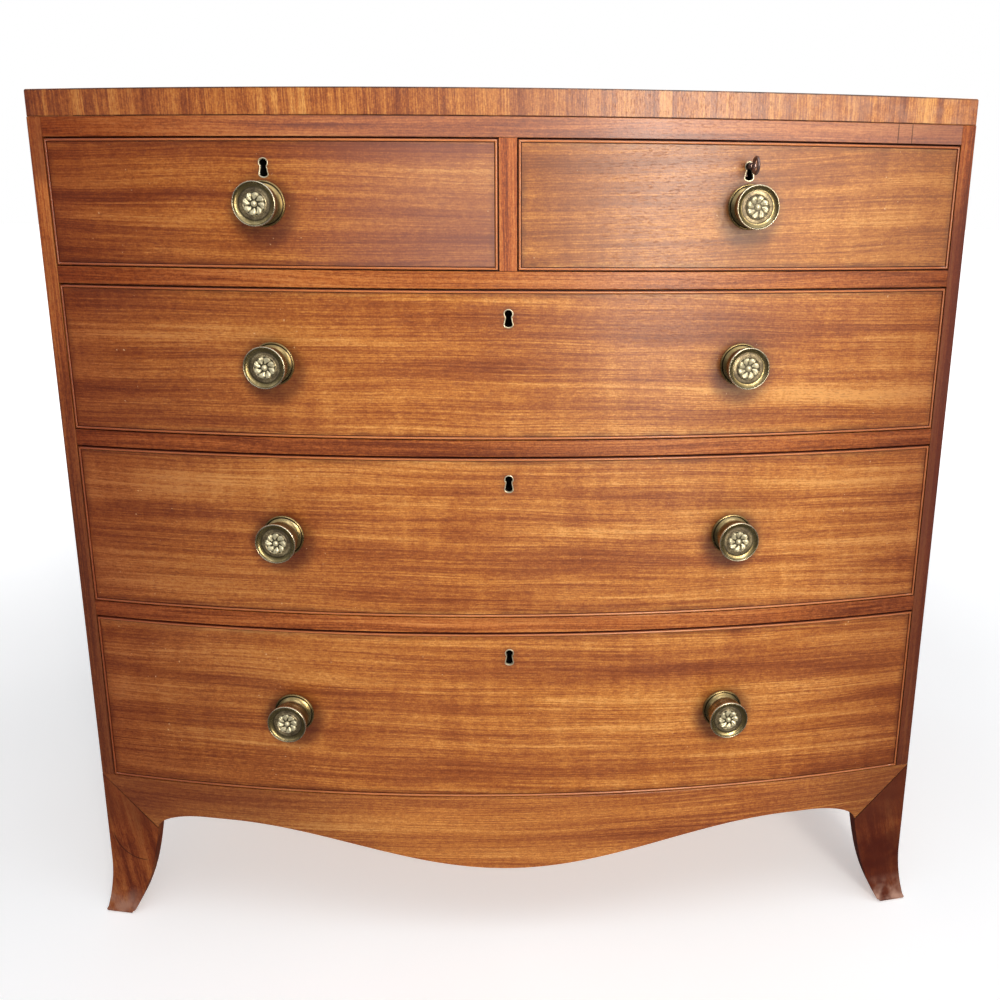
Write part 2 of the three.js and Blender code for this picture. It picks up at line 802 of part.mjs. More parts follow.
function addDrawerBox(drawer) {
  const { xLow, xHigh, zHigh } = frontRange(drawer);
  const inset = frontThickness + glueGap;
  const floor = drawer.opening.floor + runnerClearance;
  const sideTop = zHigh - drawerSideDrop;
  const sides = [['left', xLow], ['right', xHigh - drawerSideThickness]];
  for (const [word, x] of sides) {
    const board = bowBoard(x, x + drawerSideThickness, inset, drawerBackFace, floor, sideTop);
    addPiece(`${drawer.name}_drawer_side_${word}`, board, liningWood);
  }
  const innerLow = xLow + drawerSideThickness + glueGap;
  const innerHigh = xHigh - drawerSideThickness - glueGap;
  const bottomFloor = floor + bottomLift;
  const bottomTop = bottomFloor + drawerBottomThickness;
  const bottom = bowBoard(innerLow, innerHigh, inset, drawerBackFace, bottomFloor, bottomTop);
  addPiece(`${drawer.name}_drawer_bottom`, bottom, liningWood);
  const back = block(
    innerLow,
    innerHigh,
    drawerBackFace - drawerBackThickness,
    drawerBackFace,
    bottomTop + glueGap,
    sideTop - drawerBackDrop,
  );
  addPiece(`${drawer.name}_drawer_back`, back, liningWood);
}

function describeDrawers() {
  const rows = ['top', 'upper', 'middle', 'lower'];
  const drawers = openings.map((opening, row) => ({
    name: rows[row],
    opening,
    xLow: -openingHalf,
    xHigh: openingHalf,
    keyX: 0,
    keyZ: opening.floor + opening.height - keyholeTopDistance,
    middle: opening.floor + opening.height / 2,
    knobs: [
      { name: `${rows[row]}_left_knob`, x: -knobOffset },
      { name: `${rows[row]}_right_knob`, x: knobOffset },
    ],
  }));
  const [top, ...long] = drawers;
  const topLeft = { ...top, name: 'top_left', xHigh: -dividerHalf, keyX: -keyholeOffset };
  const topRight = { ...top, name: 'top_right', xLow: dividerHalf, keyX: keyholeOffset, hasLock: true };
  topLeft.knobs = [top.knobs[0]];
  topRight.knobs = [top.knobs[1]];
  return [topLeft, topRight, ...long];
}

function addLiner() {
  const face = bowFace(keyholeOffset);
  const shape = new THREE.Shape(keyholeOutline(keyholeOffset, keyAxisHeight, linerWall));
  shape.holes.push(new THREE.Path(keyholeOutline(keyholeOffset, keyAxisHeight, 0)));
  addPiece('top_right_keyhole_liner', extrudeBack(shape, face, linerDepth), brass);
}

addTop();
addSides();
addBackAndBottom();
addRails();
addTopRail();
addDivider();
addApron();
addFeet();
for (const drawer of describeDrawers()) {
  addFront(drawer);
  addBead(drawer);
  addDrawerBox(drawer);
  for (const knob of drawer.knobs) {
    addKnob(knob.name, knob.x, drawer.middle);
  }
}
addLiner();
addLockCase();
addLockBolt();
addKey();

export default chest;
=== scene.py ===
"""Looks of a bow front chest of drawers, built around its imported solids.

Lengths are metres, +Z is up and the drawers open towards -Y.
"""

import json
import math

import bmesh
import bpy
from mathutils import Matrix, Vector


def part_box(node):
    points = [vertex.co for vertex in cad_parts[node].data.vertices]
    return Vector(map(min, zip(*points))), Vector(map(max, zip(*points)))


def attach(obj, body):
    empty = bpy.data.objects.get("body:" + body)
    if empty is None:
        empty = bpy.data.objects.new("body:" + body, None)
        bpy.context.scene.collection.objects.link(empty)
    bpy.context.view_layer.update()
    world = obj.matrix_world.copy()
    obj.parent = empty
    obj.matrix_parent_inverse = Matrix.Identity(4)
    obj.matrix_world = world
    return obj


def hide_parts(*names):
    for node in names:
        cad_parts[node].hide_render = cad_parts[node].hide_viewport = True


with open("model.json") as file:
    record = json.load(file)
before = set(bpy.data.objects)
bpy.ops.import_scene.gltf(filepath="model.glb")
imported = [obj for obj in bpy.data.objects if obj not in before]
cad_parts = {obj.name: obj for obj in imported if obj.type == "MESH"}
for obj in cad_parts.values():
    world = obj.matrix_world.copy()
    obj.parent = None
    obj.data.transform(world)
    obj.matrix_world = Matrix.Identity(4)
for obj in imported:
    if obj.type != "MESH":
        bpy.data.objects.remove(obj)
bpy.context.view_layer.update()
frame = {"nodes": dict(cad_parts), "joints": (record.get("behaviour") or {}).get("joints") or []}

MM = 0.001

# Places and sizes read from the frame
TOP_LOW, TOP_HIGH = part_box("top_board")
HALF_WIDTH = TOP_HIGH.x
BACK_FACE = TOP_HIGH.y
FRONT_CORNER = min(v.co.y for v in frame["nodes"]["top_board"].data.vertices if v.co.x > HALF_WIDTH - MM)
BOW_RISE = FRONT_CORNER - TOP_LOW.y
BOW_RADIUS = (HALF_WIDTH**2 + BOW_RISE**2) / (2 * BOW_RISE)
BOW_CENTRE = TOP_LOW.y + BOW_RADIUS
SIDE_INNER = -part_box("side_left")[1].x
SIDE_THICKNESS = HALF_WIDTH - SIDE_INNER
BOTTOM_FLOOR, BASE = (corner.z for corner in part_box("bottom_board"))
KEY_JOINT = next(joint for joint in frame["joints"] if joint["name"] == "key_turn")
KEY_PLACE = Vector(KEY_JOINT["pos_m"])
KEY_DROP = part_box("top_right_drawer_front")[1].z - KEY_PLACE.z

# Carcase, apron and feet
SIDES = (("left", -1), ("right", 1))
STATION = 11 * MM
APRON_STATION = 8 * MM
SEAM = 0.3 * MM
SHARP = 38
SIDE_ARRIS = 0.8 * MM
STILE_ARRIS = 1.4 * MM
TOP_ARRIS = 1.1 * MM
RAIL_ARRIS = 0.6 * MM
FRONT_ARRIS = 0.4 * MM
SOFT_ARRIS = 1.2 * MM
TOP_EASE = 2.8 * MM
EASE_SHARES = (0.0, 0.1, 0.3, 0.6, 1.0)
MORTISE_DEPTH = 9 * MM
APRON_THICKNESS = 22 * MM
APRON_CENTRE_DROP = 105 * MM
APRON_ARCH_DROP = 48.5 * MM
APRON_WAVE_SHARE = 0.923
ARCH_RUN = 67 * MM
ARCH_STEPS = 18
FOOT_TOP = 72.5 * MM
FOOT_TOE = 27 * MM
FOOT_LEAN_SHARE = 0.55
FOOT_FLARE = 10 * MM
FLARE_START_SHARE = 0.61
FLARE_POWER = 2.2
FOOT_LEVELS = 26
TOE_WEAR = ((4 * MM, 0.995), (2.4 * MM, 0.975), (1.0 * MM, 0.93), (0.0, 0.84))
REAR_BRACKET = 18 * MM
PLANKS = 5
PLANK_GAP = 1.2 * MM
PLANK_LEAN = 0.5 * MM
BLOCK_PLACES = (-0.36, -0.20, 0.0, 0.20, 0.36)
BLOCK_LENGTH = 80 * MM
BLOCK_SIZE = 24 * MM
MITRE_START = HALF_WIDTH - FOOT_TOP
APRON_WAVE_HALF = (MITRE_START - ARCH_RUN) * APRON_WAVE_SHARE

# Drawers, beads and keyholes
DRAWERS = ("top_left", "top_right", "upper", "middle", "lower")
BEAD_WIDTH = 4 * MM
BEAD_PROUD = 1.5 * MM
BEAD_DEPTH = 8 * MM
QUIRK = 0.7 * MM
OUTER_QUIRK = 0.65 * MM
FRONT_THICKNESS = 24 * MM
CLEARANCE = 5 * MM
KEYHOLE_RADIUS = 4.15 * MM
KEYHOLE_WAIST = 5.9 * MM
KEYHOLE_SLOT_RADIUS = 4.3 * MM
KEYHOLE_SLOT_DROP = 12.1 * MM
KEYHOLE_WAIST_DROP = 4.9 * MM
KEYHOLE_FOOT_SHARE = 0.65
HOLE_WALL_REACH = (8 * MM, 13 * MM)
DOVETAIL_PITCH = 42 * MM
DOVETAIL_HALF, DOVETAIL_SLOPE = 0.36, 0.16
LAP = 6 * MM
LINER_WALL = 1.3 * MM
LINER_DEPTH = 3 * MM

# Locks and the key
LOCK_PLATE = 2 * MM
BOLT_PLAY = 0.4 * MM
BOLT_THICKNESS = 3 * MM
RIVET_INSET = 6 * MM
PIN_RADIUS = 1.2 * MM
CORNER_RIVET = (2.6 * MM, 0.8 * MM)
PIN_HEAD = (1.8 * MM, 0.7 * MM)
BOLT_RISE = 4 * MM
BOLT_TOP_GAP = 0.5 * MM
KEY_WIRE = 5.0 * MM
KEY_BOW = (27 * MM, 20.6 * MM)
KEY_BOW_HALF = 1.7 * MM
KEY_BOW_RINGS, KEY_WIRE_SEGMENTS, SHANK_SEGMENTS = 48, 12, 24
KEY_SHANK = 3 * MM
KEY_BORE = (1.7 * MM, 6 * MM)
KEY_BIT_HALF, KEY_BIT_DROP = 1.1 * MM, 10 * MM
KEY_BIT_START, KEY_BIT_END, KEY_BIT_ROOT = 0.8 * MM, 4.8 * MM, 2.1 * MM
KEY_MOULDING = ((0.1, 0.0), (2.7, 0.0), (3.0, 1.0), (3.0, 2.0), (4.3, 2.6), (4.4, 3.6), (3.4, 4.2),
                (3.9, 4.9), (3.9, 5.6), (3.0, 6.2))


def bow(x):
    """The front surface at x: one arc from corner to corner."""
    return BOW_CENTRE - math.sqrt(BOW_RADIUS**2 - x * x)


def bow_turn(x):
    """The angle between the front's normal at x and straight ahead."""
    return math.asin(x / BOW_RADIUS)


def stations(low, high, spacing=STATION):
    count = max(1, round((high - low) / spacing))
    return [low + (high - low) * i / count for i in range(count + 1)]


def smoothstep(low, high, value):
    share = min(max((value - low) / (high - low), 0), 1)
    return share * share * (3 - 2 * share)


def colour(code):
    """Linear RGBA of an sRGB hex code."""
    parts = [int(code[i : i + 2], 16) / 255 for i in (1, 3, 5)]
    linear = [p / 12.92 if p <= 0.04045 else ((p + 0.055) / 1.055) ** 2.4 for p in parts]
    return (*linear, 1)


# Materials
def fill(tree, socket, value):
    if isinstance(value, Field):
        tree.links.new(value.socket, socket)
    else:
        socket.default_value = value


def add_node(tree, kind, *values, operation=None):
    """A new node with its first inputs filled."""
    node = tree.nodes.new(f"ShaderNode{kind}")
    if operation:
        node.operation = operation
    for socket, value in zip(node.inputs, values):
        fill(tree, socket, value)
    return node


class Field:
    """A value that varies over a surface. Arithmetic on it adds the nodes that work it out."""

    def __init__(self, tree, socket):
        self.tree = tree
        self.socket = socket

    def math(self, operation, *others):
        node = add_node(self.tree, "Math", self, *others, operation=operation)
        return Field(self.tree, node.outputs[0])

    def __add__(self, other):
        return self.math("ADD", other)

    def __sub__(self, other):
        return self.math("SUBTRACT", other)

    def __rsub__(self, other):
        return self * -1 + other

    def __mul__(self, other):
        return self.math("MULTIPLY", other)

    def __abs__(self):
        return self.math("ABSOLUTE")

    __radd__ = __add__
    __rmul__ = __mul__

    def least(self, other):
        return self.math("MINIMUM", other)

    def most(self, other):
        return self.math("MAXIMUM", other)

    def root(self):
        return self.math("SQRT")

    def reach(self, other):
        """The distance that two offsets at right angles make."""
        return (self * self + other * other).root()

    def fade(self, low, high, at_low=0.0, at_high=1.0, smooth=True):
        """Goes from at_low, where the field is low, to at_high, where it is high."""
        node = add_node(self.tree, "MapRange", self, low, high, at_low, at_high)
        node.interpolation_type = "SMOOTHSTEP" if smooth else "LINEAR"
        return Field(self.tree, node.outputs[0])

    def near(self, place, inner, outer, gain=1.0):
        """gain up to inner from a place, and nothing from outer on."""
        return abs(self - place).fade(inner, outer, gain, 0.0)

    def split(self):
        return [Field(self.tree, socket) for socket in add_node(self.tree, "SeparateXYZ", self).outputs]

    def noise(self, scale, detail=2.0, roughness=0.5, offset=(0, 0, 0)):
        """Noise around 0.5 over a vector field. scale is one number, or one for each axis."""
        scales = scale if isinstance(scale, tuple) else (scale, scale, scale)
        scaled = add_node(self.tree, "VectorMath", self, scales, offset, operation="MULTIPLY_ADD")
        node = add_node(self.tree, "TexNoise", Field(self.tree, scaled.outputs[0]))
        for name, value in (("Scale", 1.0), ("Detail", detail), ("Roughness", roughness)):
            node.inputs[name].default_value = value
        return Field(self.tree, node.outputs["Fac"])


class Look:
    """A material under construction: its colour so far, and where on the object a point lies."""

    def __init__(self, name, roughness=0.5, metallic=0.0, specular=0.5):
        self.material = bpy.data.materials.new(name)
        self.material.use_nodes = True
        self.tree = self.material.node_tree
        self.tree.nodes.clear()
        self.surface = add_node(self.tree, "BsdfPrincipled")
        add_node(self.tree, "OutputMaterial", Field(self.tree, self.surface.outputs["BSDF"]))
        self.put("Roughness", roughness)
        self.put("Metallic", metallic)
        self.put("Specular IOR Level", specular)
        self.place = Field(self.tree, add_node(self.tree, "TexCoord").outputs["Object"])
        self.x, self.y, self.z = self.place.split()
        self.shade = None

    def put(self, name, value):
        fill(self.tree, self.surface.inputs[name], value)

    def vector(self, x, y, z):
        return Field(self.tree, add_node(self.tree, "CombineXYZ", x, y, z).outputs[0])

    def tones(self, factor, stops):
        """Starts the colour with tones at stops of a factor."""
        node = add_node(self.tree, "ValToRGB", factor)
        elements = node.color_ramp.elements
        while len(elements) < len(stops):
            elements.new(0.5)
        for element, (position, tone) in zip(elements, stops):
            element.position = position
            element.color = colour(tone)
        self.shade = Field(self.tree, node.outputs["Color"])

    def layer(self, share, tint, blend="MIX"):
        """Lays a tint over the colour so far, by a share that varies over the surface."""
        node = add_node(self.tree, "Mix")
        node.data_type = "RGBA"
        node.blend_type = blend
        first, second = (socket for socket in node.inputs if socket.type == "RGBA")
        fill(self.tree, node.inputs["Factor"], share)
        fill(self.tree, first, self.shade)
        fill(self.tree, second, colour(tint))
        self.shade = Field(self.tree, next(socket for socket in node.outputs if socket.type == "RGBA"))

    def bump(self, height, strength, distance):
        node = add_node(self.tree, "Bump")
        for name, value in (("Strength", strength), ("Distance", distance), ("Height", height)):
            fill(self.tree, node.inputs[name], value)
        self.put("Normal", Field(self.tree, node.outputs[0]))

    def finish(self):
        self.put("Base Color", self.shade)
        return self.material


# Tones from dark to light, each with its place on the scale of the noise
GRAIN_AXES = {"X": (0, 2, 1), "Y": (1, 0, 2), "Z": (2, 0, 1)}
MAHOGANY = ((0.26, "#7a3713"), (0.41, "#98501e"), (0.50, "#ad6427"), (0.58, "#c07731"), (0.74, "#dc9a50"))
CROSSBAND = ((0.28, "#6e3014"), (0.42, "#914b1f"), (0.50, "#aa6129"), (0.58, "#be7634"), (0.74, "#d8994e"))
RAIL_TONES = ((0.28, "#6c2d0f"), (0.42, "#8f4719"), (0.50, "#a75923"), (0.58, "#b96b2e"), (0.74, "#cf8646"))
RED_MAHOGANY = ((0.28, "#65270b"), (0.42, "#8c3f14"), (0.50, "#a6511c"), (0.58, "#b96326"), (0.74, "#cf803e"))
BEAD_TONES = ((0.3, "#944a24"), (0.5, "#bf6f38"), (0.7, "#d98f52"))
QUIRK_SHADE_TONES = ((0.3, "#3c1008"), (0.5, "#4e190c"), (0.7, "#602413"))
HOLE_SHADE_TONES = ((0.3, "#060403"), (0.5, "#0b0705"), (0.7, "#120b07"))
PINE = ((0.30, "#764827"), (0.45, "#976339"), (0.55, "#b37d4e"), (0.70, "#ca9867"))
OAK = ((0.30, "#84552f"), (0.45, "#a57043"), (0.55, "#bb8656"), (0.70, "#d2a272"))
BRASS = ((0.25, "#4b4128"), (0.42, "#7a6b44"), (0.55, "#9c8e62"), (0.75, "#c8bb8e"))
BRIGHT_BRASS = ((0.25, "#6d5f44"), (0.45, "#9c8a66"), (0.60, "#b9a988"), (0.80, "#d8cdb2"))
KNOB_TONES = ((0.25, "#372e20"), (0.45, "#62543e"), (0.58, "#8c7c5b"), (0.78, "#c2b18b"))
STEEL = ((0.25, "#2b2523"), (0.45, "#4b4340"), (0.60, "#6b6260"), (0.80, "#8d8686"))
BROWN_STEEL = ((0.25, "#241612"), (0.45, "#3d2822"), (0.60, "#59413a"), (0.80, "#7f6962"))
# Tint of the ends: old polish and painted shade
END_SHADE_AND_POLISH = "#ab887d"
DARK_POLISH = "#5c2710"
DARK_LINE = "#2a1209"

# How far the grain wanders, slowly and in ripples
DRIFT = 30 * MM
RIPPLE = 8 * MM

# Marks, a painted sheen and a painted shadow at stated places
PAINTED_SHEEN = {"top_left": (-0.30, -0.04, 0.28, "#a5837a"), "top_right": (-0.10, 0.0, 0.07, "#b8a070")}
PATCH_JOINTS = (0.437, 0.454)
TOP_RAIL_FLOOR = (TOP_LOW.z - 23 * MM, TOP_LOW.z - 22 * MM)
SCRATCH_CENTRE = (-0.487, 0.122)
SCRATCH_RADIUS = 0.041
KNOB_SHADOW_DROP = 9 * MM
TOUCH_DROP = 5 * MM


def grain_space(look, along, offset, tilt, depth):
    """Coordinates along, across and into the grain: straight ones, and ones that wander as grain does."""
    axes = (look.x, look.y, look.z)
    lengthwise, across, deep = (axes[i] for i in GRAIN_AXES[along])
    lengthwise = lengthwise + offset[0]
    leaning = across + lengthwise * tilt + offset[1]
    deep = deep * depth
    straight = look.vector(lengthwise, leaning, deep)
    drift = straight.noise((1.3, 5.0, 5.0)) - 0.5
    ripple = straight.noise((5.0, 15.0, 15.0), 1.0) - 0.5
    wander = drift * DRIFT + ripple * RIPPLE
    return straight, look.vector(lengthwise, leaning + wander, deep), wander


def fibres(straight, grain, band_size, bands, lines, grit):
    """Seven noises drawn out along the grain, from broad bands to short flecks, each after its gain."""
    per_band = 1 / band_size
    return (
        (0.60 * bands, grain.noise((1.7, per_band, per_band), 1.0)),
        (0.28 * bands, grain.noise((4.0, 3.2 * per_band, 3.2 * per_band), 1.0)),
        (0.17 * lines, grain.noise((4.5, 240.0, 240.0), 1.0)),
        (0.46 * lines, grain.noise((7.0, 640.0, 640.0), 1.0)),
        (0.28 * grit, grain.noise((150.0, 640.0, 640.0), 1.0)),
        (0.25 * grit, straight.noise((520.0, 480.0, 480.0), 1.0)),
        (0.11 * grit, straight.noise((150.0, 100.0, 100.0), 1.0)),
    )


def figure_bands(look, figure, wander, teeth):
    """Pale and dark bands at stated places. Each fades out along the grain in fine teeth."""
    x_feathered = look.x + teeth * 0.22
    z_feathered = look.z + wander * 0.5 + teeth * 0.012
    bands = []
    for x_from, x_to, z_from, z_to, half, gain in figure:
        slope = (z_to - z_from) / (x_to - x_from)
        level = (look.x - x_from) * slope + z_from
        fade = 0.3 * (x_to - x_from)
        body = z_feathered.near(level, 0.2 * half, 1.5 * half, gain)
        body = body * x_feathered.fade(x_from - fade, x_from + fade)
        bands.append(body * x_feathered.fade(x_to - fade, x_to + fade, 1.0, 0.0))
    return sum(bands[1:], bands[0])


def curl_bars(straight):
    """Bars across the grain, which are stronger in some patches than in others."""
    bars = straight.noise((52.0, 8.0, 8.0), 1.0, offset=(0, 3, 0)) - 0.5
    return bars * straight.noise((3.0, 9.0, 9.0), offset=(5, 0, 0)).fade(0.42, 0.62, 0.25, 1.0)


def darken_ends(look, left, right):
    """Darker and redder towards the ends, by shares left and right of a full tint: old polish, and painted
    shade for light that falls off there.
    """
    look.layer(look.x.fade(-0.60, -0.08, left, 0.0), END_SHADE_AND_POLISH, "MULTIPLY")
    look.layer(look.x.fade(0.30, 0.60, 0.0, right), END_SHADE_AND_POLISH, "MULTIPLY")


def wood(name, tones, along, offset, *, tilt=0.0, depth=1.0, bands=1.0, band_size=34 * MM, lines=1.0,
         grit=1.0, curl=0.0, roughness=0.38, specular=0.5, pore=0.3, coat=0.0, figure=(), light=0.0,
         ends=(), marks=None):
    """Polished or bare wood: tones that follow the fibres, then fine dark lines, pores, marks of use and,
    where asked, painted shade and sheen.
    """
    look = Look(name, specular=specular)
    straight, grain, wander = grain_space(look, along, offset, tilt, depth)
    noises = fibres(straight, grain, band_size, bands, lines, grit)
    parts = [(noise - 0.5) * gain for gain, noise in noises]
    streak, line, fleck = (noise for gain, noise in noises[2:5])
    if figure:
        parts.append(figure_bands(look, figure, wander, streak * 0.6 + line * 0.4 - 0.5))
    if curl:
        parts.append(curl_bars(straight) * curl)
    look.tones(sum(parts, 0.5 + light), tones)

    darkest = tones[0][1]
    vein = grain.noise((4.0, 60.0, 60.0), 2.0, 0.6, (3, 7, 0))
    pencil = streak.near(0.5, 0.0, 0.035) * vein.fade(0.44, 0.60, 0.1, 1.0)
    look.layer(pencil * (0.24 * lines), darkest)
    pores = grain.noise((170.0, 850.0, 850.0), 0.0).fade(0.60, 0.72)
    look.layer(pores * pore, darkest)
    if ends:
        darken_ends(look, *ends)
    if marks:
        marks(look)

    smear = straight.noise((9.0, 14.0, 14.0)) - 0.5
    look.put("Roughness", roughness + smear * 0.14 + pores * 0.12)
    if coat:
        look.put("Coat Weight", coat)
        look.put("Coat Roughness", 0.24)
    swell = straight.noise(14.0, 1.0)
    look.bump(pores * -0.35 + streak * 0.2 + fleck * 0.3 + swell * 2.5, 0.3, 0.22 * MM)
    return look.finish()


def darker_below(low, high, depth):
    """Marks of an upright: it darkens from high down to low in uneven clouds, with a few dark blotches."""
    def add_marks(look):
        uneven = look.z + (look.place.noise((14.0, 14.0, 6.0), 3.0, 0.6) - 0.5) * 0.5
        look.layer(uneven.fade(high, low, 0.0, depth), "#451908")
        look.layer(look.place.noise((40.0, 40.0, 16.0)).fade(0.60, 0.72) * 0.25, "#33130a")

    return add_marks


def stile_marks(look):
    """Marks of the stiles: darker downwards, and redder at the left's top end and down most of the right."""
    darker_below(0.3, 1.5, 0.74)(look)
    uneven = look.z + (look.place.noise((18.0, 18.0, 8.0), 3.0, 0.6) - 0.5) * 0.25
    at_left = look.x.fade(0.1, -0.1) * uneven.fade(0.93, 0.99, 0.0, 0.55)
    at_right = look.x.fade(-0.1, 0.1) * uneven.fade(1.02, 0.88, 0.0, 0.68) * uneven.fade(0.25, 0.6, 0.2, 1.0)
    look.layer(at_left + at_right, "#541606")


def rail_marks(look):
    """Marks on the top rail alone: a painted sheen, which greys it more towards the right, and the two fine
    joints of a patch.
    """
    on_top_rail = look.z.fade(*TOP_RAIL_FLOOR)
    # Painted sheen on the top rail
    look.layer(on_top_rail * look.x.fade(-0.45, -0.05, 0.0, 0.2), "#b0928a")
    for place in PATCH_JOINTS:
        look.layer(look.x.near(place, 0.3 * MM, 1.0 * MM, 0.7) * on_top_rail, DARK_LINE)


def foot_marks(look):
    """Marks of the feet: cloudy dark polish, darkest on the right, pale toes and a curved scratch."""
    cloud = look.place.noise(24.0, 3.0, 0.6)
    look.layer(look.x.fade(-0.3, 0.3, 0.60, 0.86) + (cloud - 0.5) * 0.8, "#4b1606")
    look.layer(look.z.fade(105 * MM, 160 * MM, 0.0, 0.55), DARK_POLISH)
    mitre = HALF_WIDTH - abs(look.x) + look.z
    seam = mitre.near(BASE, 0.5 * MM, 2.4 * MM)
    look.layer(seam * look.x.fade(-0.2, 0.2, 0.4, 0.75), "#220c05")
    worn = look.z.fade(42 * MM, 8 * MM) * cloud.fade(0.40, 0.58)
    look.layer(worn * look.x.fade(-0.2, 0.2, 0.5, 0.85), "#b58b76")
    arc = (look.x - SCRATCH_CENTRE[0]).reach(look.z - SCRATCH_CENTRE[1])
    scratch = arc.near(SCRATCH_RADIUS, 0.0, 1.4 * MM, 0.8)
    look.layer(scratch * look.x.fade(-0.480, -0.488) * look.z.fade(0.118, 0.110), "#1f0a05")


def arris_marks(look):
    """Marks of the top's banded edge: a dark line along both arrises, and a painted sheen that greys it to
    the right.
    """
    cloud = look.place.noise(60.0)
    upper = look.z.fade(TOP_HIGH.z - 2.2 * MM, TOP_HIGH.z - 0.8 * MM)
    lower = look.z.fade(TOP_LOW.z + 1.6 * MM, TOP_LOW.z + 0.4 * MM)
    # Painted sheen, stronger to the right
    look.layer(look.x.fade(-0.2, 0.45) * cloud.fade(0.3, 0.7, 0.05, 0.22), "#b99a86")
    look.layer(upper.most(lower) * cloud.fade(0.3, 0.6, 0.55, 0.95), DARK_LINE)


def apron_marks(look):
    """Marks of the apron: dark cloudy polish towards both feet, which starts further in on the left."""
    away = abs(look.x) + (look.place.noise(20.0, 3.0, 0.6) - 0.5) * 0.16
    at_left = look.x.fade(0.0, -0.05) * away.fade(0.08, 0.34, 0.0, 0.36)
    at_right = look.x.fade(0.0, 0.05) * away.fade(0.30, 0.54, 0.0, 0.60)
    look.layer(at_left + at_right, DARK_POLISH)


def drawer_marks(name):
    """Wear and painted light of one drawer front: grime along the bead and round the keyhole, a painted
    shadow round and below the knobs, and a painted sheen where stated.
    """
    low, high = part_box(f"{name}_drawer_front")
    knob_x, knob_z = knob_axis(f"{name}_knob" if name.startswith("top") else f"{name}_right_knob")
    hole_x, hole_z = keyhole_place(name)

    def add_marks(look):
        cloud = look.place.noise(30.0, 3.0, 0.6)
        edge = (look.x - low.x).least(high.x - look.x).least((look.z - low.z).least(high.z - look.z))
        rim = edge.fade(BEAD_WIDTH, 12 * MM, 1.0, 0.0) * cloud.fade(0.35, 0.65, 0.15, 0.65)
        from_knob = (abs(look.x) - abs(knob_x)).reach(look.z - (knob_z - KNOB_SHADOW_DROP))
        knob_shadow = from_knob.fade(27 * MM, 46 * MM, 1.0, 0.0) * cloud.fade(0.3, 0.7, 0.8, 1.0)
        from_hole = (look.x - hole_x).reach((look.z - (hole_z - TOUCH_DROP)) * 0.7)
        touch = from_hole.fade(6 * MM, 14 * MM, 1.0, 0.0) * 0.4
        # Grime along the bead and round the keyhole, and a painted shadow round and below the knobs, in one
        # dark tint
        look.layer(rim.most(knob_shadow).most(touch) * 0.75, "#4a1a0c")
        # Painted sheen: a pale tint over part of the top drawers
        if name in PAINTED_SHEEN:
            x_from, x_to, share, tint = PAINTED_SHEEN[name]
            look.layer(look.x.fade(x_from, x_to, 0.0, share), tint)
        flecks = look.place.noise((300.0, 40.0, 300.0), 0.0)
        look.layer(flecks.fade(0.86, 0.89, 0.0, 0.5), "#dcb68a")

    return add_marks


def dovetail_marks(low, high):
    """Lapped dovetails on the ends of a drawer front: oak tails, which widen towards the lap, in pine."""
    count = max(3, round((high.z - low.z) / DOVETAIL_PITCH))
    pitch = (high.z - low.z) / count

    def add_marks(look):
        depth = look.y + (BOW_RADIUS**2 - look.x * look.x).root() - BOW_CENTRE
        place = ((look.z - low.z) * (1 / pitch)).math("FRACT")
        away = abs(place - 0.5) * pitch
        inside = DOVETAIL_HALF * pitch - (depth - FRONT_THICKNESS) * DOVETAIL_SLOPE - away
        edge = inside.least(depth - LAP)
        look.layer(edge.fade(0.0, 0.1 * MM), "#b0885a")
        look.layer(abs(edge).fade(0.2 * MM, 0.6 * MM, 0.8, 0.0), "#2c1a0e")

    return add_marks


def metal(name, tones, roughness, tarnish, metallic=1.0):
    """Old metal: tarnish lies in clouds and in the hollows, and the edges are rubbed bright."""
    look = Look(name, metallic=metallic)
    cloud = look.place.noise(90.0, 4.0, 0.62)
    convex = Field(look.tree, add_node(look.tree, "NewGeometry").outputs["Pointiness"])
    rubbed = convex.fade(0.47, 0.56, -0.16, 0.20, smooth=False)
    value = (cloud - 0.5) * tarnish + rubbed + 0.5
    look.tones(value, tones)
    look.put("Roughness", value.fade(0.25, 0.75, roughness + 0.16, roughness - 0.08))
    look.bump(look.place.noise(900.0) + cloud * 1.5, 0.18, 0.12 * MM)
    return look.finish()


